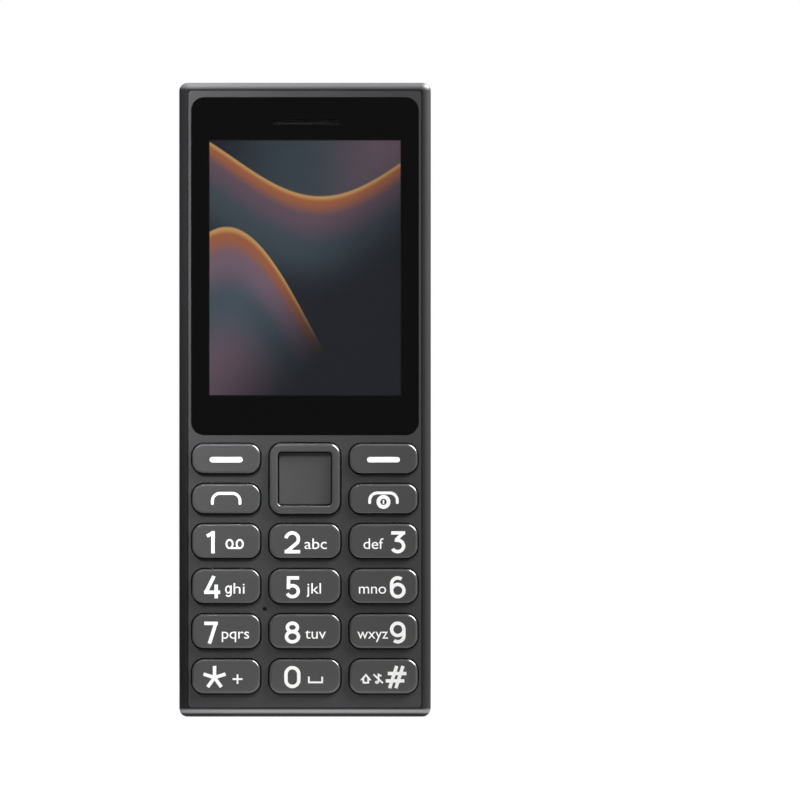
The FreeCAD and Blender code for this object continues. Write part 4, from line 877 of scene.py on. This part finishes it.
def legend(key, marks, sizes, finish):
    """All the print on one key."""
    low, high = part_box(key)
    middle_x, middle_z = (low.x + high.x) / 2, (low.z + high.z) / 2
    ink = Print(low.y - sizes.print_thickness / 2)
    for sign, left, right, base, top in marks:
        x0, x1, z0, z1 = middle_x + left * MM, middle_x + right * MM, middle_z + base * MM, middle_z + top * MM
        if sign in LETTERS:
            ink.lettering(sign, x0, x1, z0, sizes.letter_height)
        elif sign == "ring":
            ink.disc(x0, z0, 1.34 * MM, 0.62 * MM)
            ink.ribbon([(x0, z0 - 0.36 * MM), (x0, z0 + 0.36 * MM)], 0.3 * MM)
        else:
            stroke = OWN_STROKES.get(sign, sizes.digit_stroke if sign in "0123456789*#" else sizes.sign_stroke)
            for line in strokes(sign, x1 - x0, z1 - z0, stroke):
                ink.ribbon([(x0 + x, z0 + z) for x, z in line], stroke, rounded=sign in ("bar", "handset"))
    ink.laid_on(key, sizes.print_thickness, finish)


# --- Operators ------------------------------------------------------------------------------------------------
class PhoneOperator:
    """What the phone's operators share: each dresses its nodes and adds its fine pieces, or raises an error."""

    bl_options = {"REGISTER"}
    nodes = ()

    def execute(self, context):
        finish = finishes()
        for node in self.nodes:
            finished(node, finish[node])
        self.build(context.scene, finish)
        return {"FINISHED"}

    def build(self, scene, finish):
        """Adds the fine pieces, where there are any."""


class PHONE_OT_cover(PhoneOperator, bpy.types.Operator):
    """Dresses the wrap-round rear cover"""

    bl_idname = "phone.cover"
    bl_label = "Rear cover"
    nodes = ("rear_cover",)


class PHONE_OT_housing(PhoneOperator, bpy.types.Operator):
    """Dresses the painted front housing"""

    bl_idname = "phone.housing"
    bl_label = "Front housing"
    nodes = ("front_housing",)


class PHONE_OT_keys(PhoneOperator, bpy.types.Operator):
    """Dresses the sixteen keys and prints their legends"""

    bl_idname = "phone.keys"
    bl_label = "Keys and legends"

    def build(self, scene, finish):
        for key, marks in LEGENDS.items():
            finished(key, finish["key"])
            legend(key, marks, scene.phone_sizes, finish["legend"])


class PHONE_OT_navigation(PhoneOperator, bpy.types.Operator):
    """Dresses the navigation ring and dishes the select key in its middle"""

    bl_idname = "phone.navigation"
    bl_label = "Navigation key"
    nodes = ("nav_ring", "nav_pad")

    def build(self, scene, finish):
        finished("nav_select", finish["nav_select"], dished("nav_select", scene.phone_sizes.dish_depth))


class PHONE_OT_display(PhoneOperator, bpy.types.Operator):
    """Dresses the lens, its printed border and the display module with its picture"""

    bl_idname = "phone.display"
    bl_label = "Display"
    nodes = ("display_lens", "lens_mask", "lens_adhesive", "lcd_bezel", "lcd_backlight", "lcd_flex", "lcd_glass")


class PHONE_OT_sound(PhoneOperator, bpy.types.Operator):
    """Weaves the meshes of the earpiece and the loudspeaker, and dresses what lies behind them"""

    bl_idname = "phone.sound"
    bl_label = "Sound parts"
    nodes = ("earpiece_speaker", "loudspeaker", "speaker_gasket", "microphone", "microphone_boot")

    def build(self, scene, finish):
        tree = weave_tree()
        pitch, wire = scene.phone_sizes.weave_pitch, scene.phone_sizes.weave_wire
        for node, corner, front in (("earpiece_mesh", 0.46 * MM, True), ("speaker_mesh", 0.95 * MM, False)):
            low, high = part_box(node)
            middle, half = (low + high) / 2, (high - low) / 2
            place = (middle.x, low.y + 3 * wire if front else high.y - 3 * wire, middle.z)
            grown("weave_" + node, tree, [place], {"Half Width": half.x, "Half Height": half.z, "Corner": corner,
                                                   "Pitch": pitch, "Wire Radius": wire}, finish["mesh"], node)
            finished(node, finish["felt"], thinned(node, 7 * wire, front))


class PHONE_OT_ports(PhoneOperator, bpy.types.Operator):
    """Dresses the charging socket with its gold contacts, the audio jack and the torch"""

    bl_idname = "phone.ports"
    bl_label = "Ports and torch"
    nodes = ("usb_socket", "usb_tongue", "audio_jack", "torch_lens", "torch_led")

    def build(self, scene, finish):
        low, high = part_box("usb_tongue")
        level = low.z + 2.0 * MM
        places = [(0.0, low.y - 0.005 * MM, level), (0.0, high.y + 0.005 * MM, level)]
        values = {"Count": 12, "Pitch": 0.5 * MM, "Pad Size": (0.26 * MM, 0.03 * MM, 3.2 * MM)}
        grown("pads_usb_tongue", pad_tree(), places, values, finish["contact"], "usb_tongue")


class PHONE_OT_core(PhoneOperator, bpy.types.Operator):
    """Dresses the chassis, the board and what is fixed to it"""

    bl_idname = "phone.core"
    bl_label = "Core"
    nodes = ("chassis", "main_board", "rf_shield", "baseband_shield", "keypad_mat", "dome_sheet", "vibration_motor",
             "antenna")


class PHONE_OT_screws(PhoneOperator, bpy.types.Operator):
    """Drives the six housing screws"""

    bl_idname = "phone.screws"
    bl_label = "Screws"

    def build(self, scene, finish):
        solids = islands("housing_screws")
        low, high = solids[0]
        head_height = 0.8 * MM
        places = [((a.x + b.x) / 2, b.y - head_height, (a.z + b.z) / 2) for a, b in solids]
        grown("set_housing_screws", screw_tree(), places, {
            "Head Radius": (high.x - low.x) / 2, "Head Height": head_height, "Drive Radius": 0.5 * MM,
            "Drive Depth": 0.45 * MM, "Shank Radius": 0.7 * MM, "Shank Length": high.y - low.y - head_height,
            "Edge": 0.82,
        }, finish["screw"], "housing_screws", replaces=True)


class PHONE_OT_battery(PhoneOperator, bpy.types.Operator):
    """Dresses the battery, its contacts and the card sockets"""

    bl_idname = "phone.battery"
    bl_label = "Battery and cards"
    nodes = ("battery", "battery_connector", "battery_springs", "sim_socket_1", "sim_socket_2", "card_socket")

    def build(self, scene, finish):
        tree = pad_tree()
        springs = [(a + b) / 2 for a, b in islands("battery_springs")]
        pads = {"battery": ([(0.0, springs[0].y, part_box("battery")[1].z - 0.3 * MM)],
                            {"Count": 3, "Pitch": 3.0 * MM, "Pad Size": (1.7 * MM, 1.6 * MM, 0.06 * MM)})}
        for node in ("sim_socket_1", "sim_socket_2"):
            low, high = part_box(node)
            middle = (low + high) / 2
            pads[node] = ([(middle.x, low.y + 0.32 * MM, middle.z + z * MM) for z in (-1.2, 1.34, 3.88)],
                          {"Count": 2, "Pitch": 5.0 * MM, "Pad Size": (1.9 * MM, 0.06 * MM, 1.5 * MM)})
        for node, (places, values) in pads.items():
            grown("pads_" + node, tree, places, values, finish["contact"], node)


# --- Studio ---------------------------------------------------------------------------------------------------
def lamp(name, place, target, width, height, power, spread=180.0, glare=True):
    """A rectangular soft lamp turned to a target, its grid narrowing the beam to a spread in degrees; a crossed
    polariser takes away its glare."""
    light = bpy.data.lights.new(name, "AREA")
    light.shape, light.size, light.size_y, light.energy = "RECTANGLE", width, height, power
    light.spread = math.radians(spread)
    made = placed(name, light)
    made.location = place
    made.visible_camera = False
    made.visible_glossy = glare
    made.rotation_euler = (Vector(target) - Vector(place)).to_track_quat("-Z", "Y").to_euler()


def white_share(node, mirror):
    """How white the surroundings are: wholly for the camera, and by a share in reflections and through clear pieces."""
    path = node("LightPath").outputs
    mirrored = node("Math", {0: path["Is Glossy Ray"], 1: path["Is Transmission Ray"]}, operation="MAXIMUM")
    mirrored = node("Math", {0: mirrored, 1: mirror}, operation="MULTIPLY")
    return node("Math", {0: path["Is Camera Ray"], 1: mirrored}, operation="MAXIMUM")


def floor_surface(node):
    """Seamless white paper: lit by the lamps, and white to the camera, but for its shadows. It is clear from below,
    and its mirror image in the phone fades with the distance, so that black plastic stays dark."""
    away = distance(node, (0.0, 0.0, 0.0))
    near = node("MapRange", {"Value": away, "From Min": 0.015, "From Max": 0.05, "To Min": 1.0, "To Max": 0.1})
    grey = node("Mix", {0: speckle(node, 1.5 * MM), 6: "#E9E9E9", 7: "#EDEDED"}, data_type="RGBA").outputs[2]
    paper = node("BsdfDiffuse", {"Color": grey})
    glow = node("Emission", {"Color": "#FFFFFF", "Strength": white_share(node, near)})
    share = node("MapRange", {"Value": away, "From Min": 0.1, "From Max": 0.5, "To Min": 0.88, "To Max": 1.0})
    front = node("MixShader", {0: share, 1: paper, 2: glow})
    return node("MixShader", {0: node("NewGeometry").outputs["Backfacing"], 1: front, 2: node("BsdfTransparent")})


def sky_surface(node, ambient):
    """White surroundings for the camera, dim in reflections, the dimmer the further back, and a faint even light."""
    ahead = node("SeparateXYZ", {"Vector": node("TexCoord").outputs["Generated"]}).outputs["Y"]
    mirror = node("MapRange", {"Value": ahead, "From Min": -0.4, "From Max": 0.0, "To Min": 0.14, "To Max": 0.03})
    even = node("Math", {0: node("LightPath").outputs["Is Diffuse Ray"], 1: ambient}, operation="MULTIPLY")
    strength = node("Math", {0: white_share(node, mirror), 1: even}, operation="MAXIMUM")
    return node("Background", {"Color": "#FFFFFF", "Strength": strength})


class PHONE_OT_studio(PhoneOperator, bpy.types.Operator):
    """Lays the floor and sets the lamps, the surroundings and the camera"""

    bl_idname = "phone.studio"
    bl_label = "Studio"

    def build(self, scene, finish):
        settings = scene.phone_studio
        form = bmesh.new()
        bmesh.ops.create_circle(form, cap_ends=True, cap_tris=False, segments=96, radius=4.0)
        # A little below the phone, so that no face of it coincides with the floor.
        bmesh.ops.translate(form, verts=form.verts, vec=(0.0, 0.0, -0.05 * MM))
        floor = placed("floor", mesh_of("floor", form))
        floor.data.materials.append(material("paper_seamless_white", floor_surface))
        floor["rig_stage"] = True

        low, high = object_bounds()
        front = low.y
        lamp("key_lamp", (-0.085, -0.17, 0.262), (-0.0535, front, 0.104), 0.07, 0.07, settings.key_lamp, 35.0, False)
        lamp("strip_lamp", (0.0, -0.04, 0.55), (low + high) / 2, 0.5, 0.25, settings.strip_lamp)
        lamp("glint_lamp", (0.333, 0.02, 0.41), (0.0, front, 0.04), 0.52, 0.34, settings.glint_lamp)

        scene.world = bpy.data.worlds.new("studio")
        scene.world.use_nodes = True
        scene.world.node_tree.nodes.clear()
        node = partial(add, scene.world.node_tree)
        node("OutputWorld", {"Surface": sky_surface(node, settings.ambient)})

        camera = bpy.data.cameras.new("camera")
        camera.sensor_width = 36.0
        camera.lens = camera.sensor_width * settings.camera_distance / settings.view_width
        camera.clip_end = 20.0
        scene.camera = placed("camera", camera)
        scene.camera.location = (settings.camera_side, front - settings.camera_distance, settings.camera_height)
        scene.camera.rotation_euler = (math.pi / 2, 0.0, 0.0)
        scene.view_settings.view_transform = "Standard"


OPERATORS = (PHONE_OT_cover, PHONE_OT_housing, PHONE_OT_keys, PHONE_OT_navigation, PHONE_OT_display, PHONE_OT_sound,
             PHONE_OT_ports, PHONE_OT_core, PHONE_OT_screws, PHONE_OT_battery, PHONE_OT_studio)


class PHONE_PT_panel(bpy.types.Panel):
    """Colours, sizes and steps of the phone"""

    bl_idname = "PHONE_PT_panel"
    bl_label = "Keypad phone"
    bl_space_type = "VIEW_3D"
    bl_region_type = "UI"
    bl_category = "Phone"

    def draw(self, context):
        for name in GROUPS:
            group, box = getattr(context.scene, name), self.layout.box()
            for setting in group.__annotations__:
                box.prop(group, setting)
        for operator in OPERATORS:
            self.layout.operator(operator.bl_idname)


GROUPS = {"phone_colours": PhoneColours, "phone_sizes": PhoneSizes, "phone_studio": StudioSettings}
CLASSES = (*GROUPS.values(), *OPERATORS, PHONE_PT_panel)


def register():
    for entry in CLASSES:
        bpy.utils.register_class(entry)
    for name, group in GROUPS.items():
        setattr(bpy.types.Scene, name, PointerProperty(type=group))


def unregister():
    for name in GROUPS:
        delattr(bpy.types.Scene, name)
    for entry in reversed(CLASSES):
        bpy.utils.unregister_class(entry)


def main():
    """Builds every piece in order."""
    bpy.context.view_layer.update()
    register()
    for operator in OPERATORS:
        family, name = operator.bl_idname.split(".")
        getattr(getattr(bpy.ops, family), name)()
    bpy.context.view_layer.update()


if __name__ == "__main__":
    main()
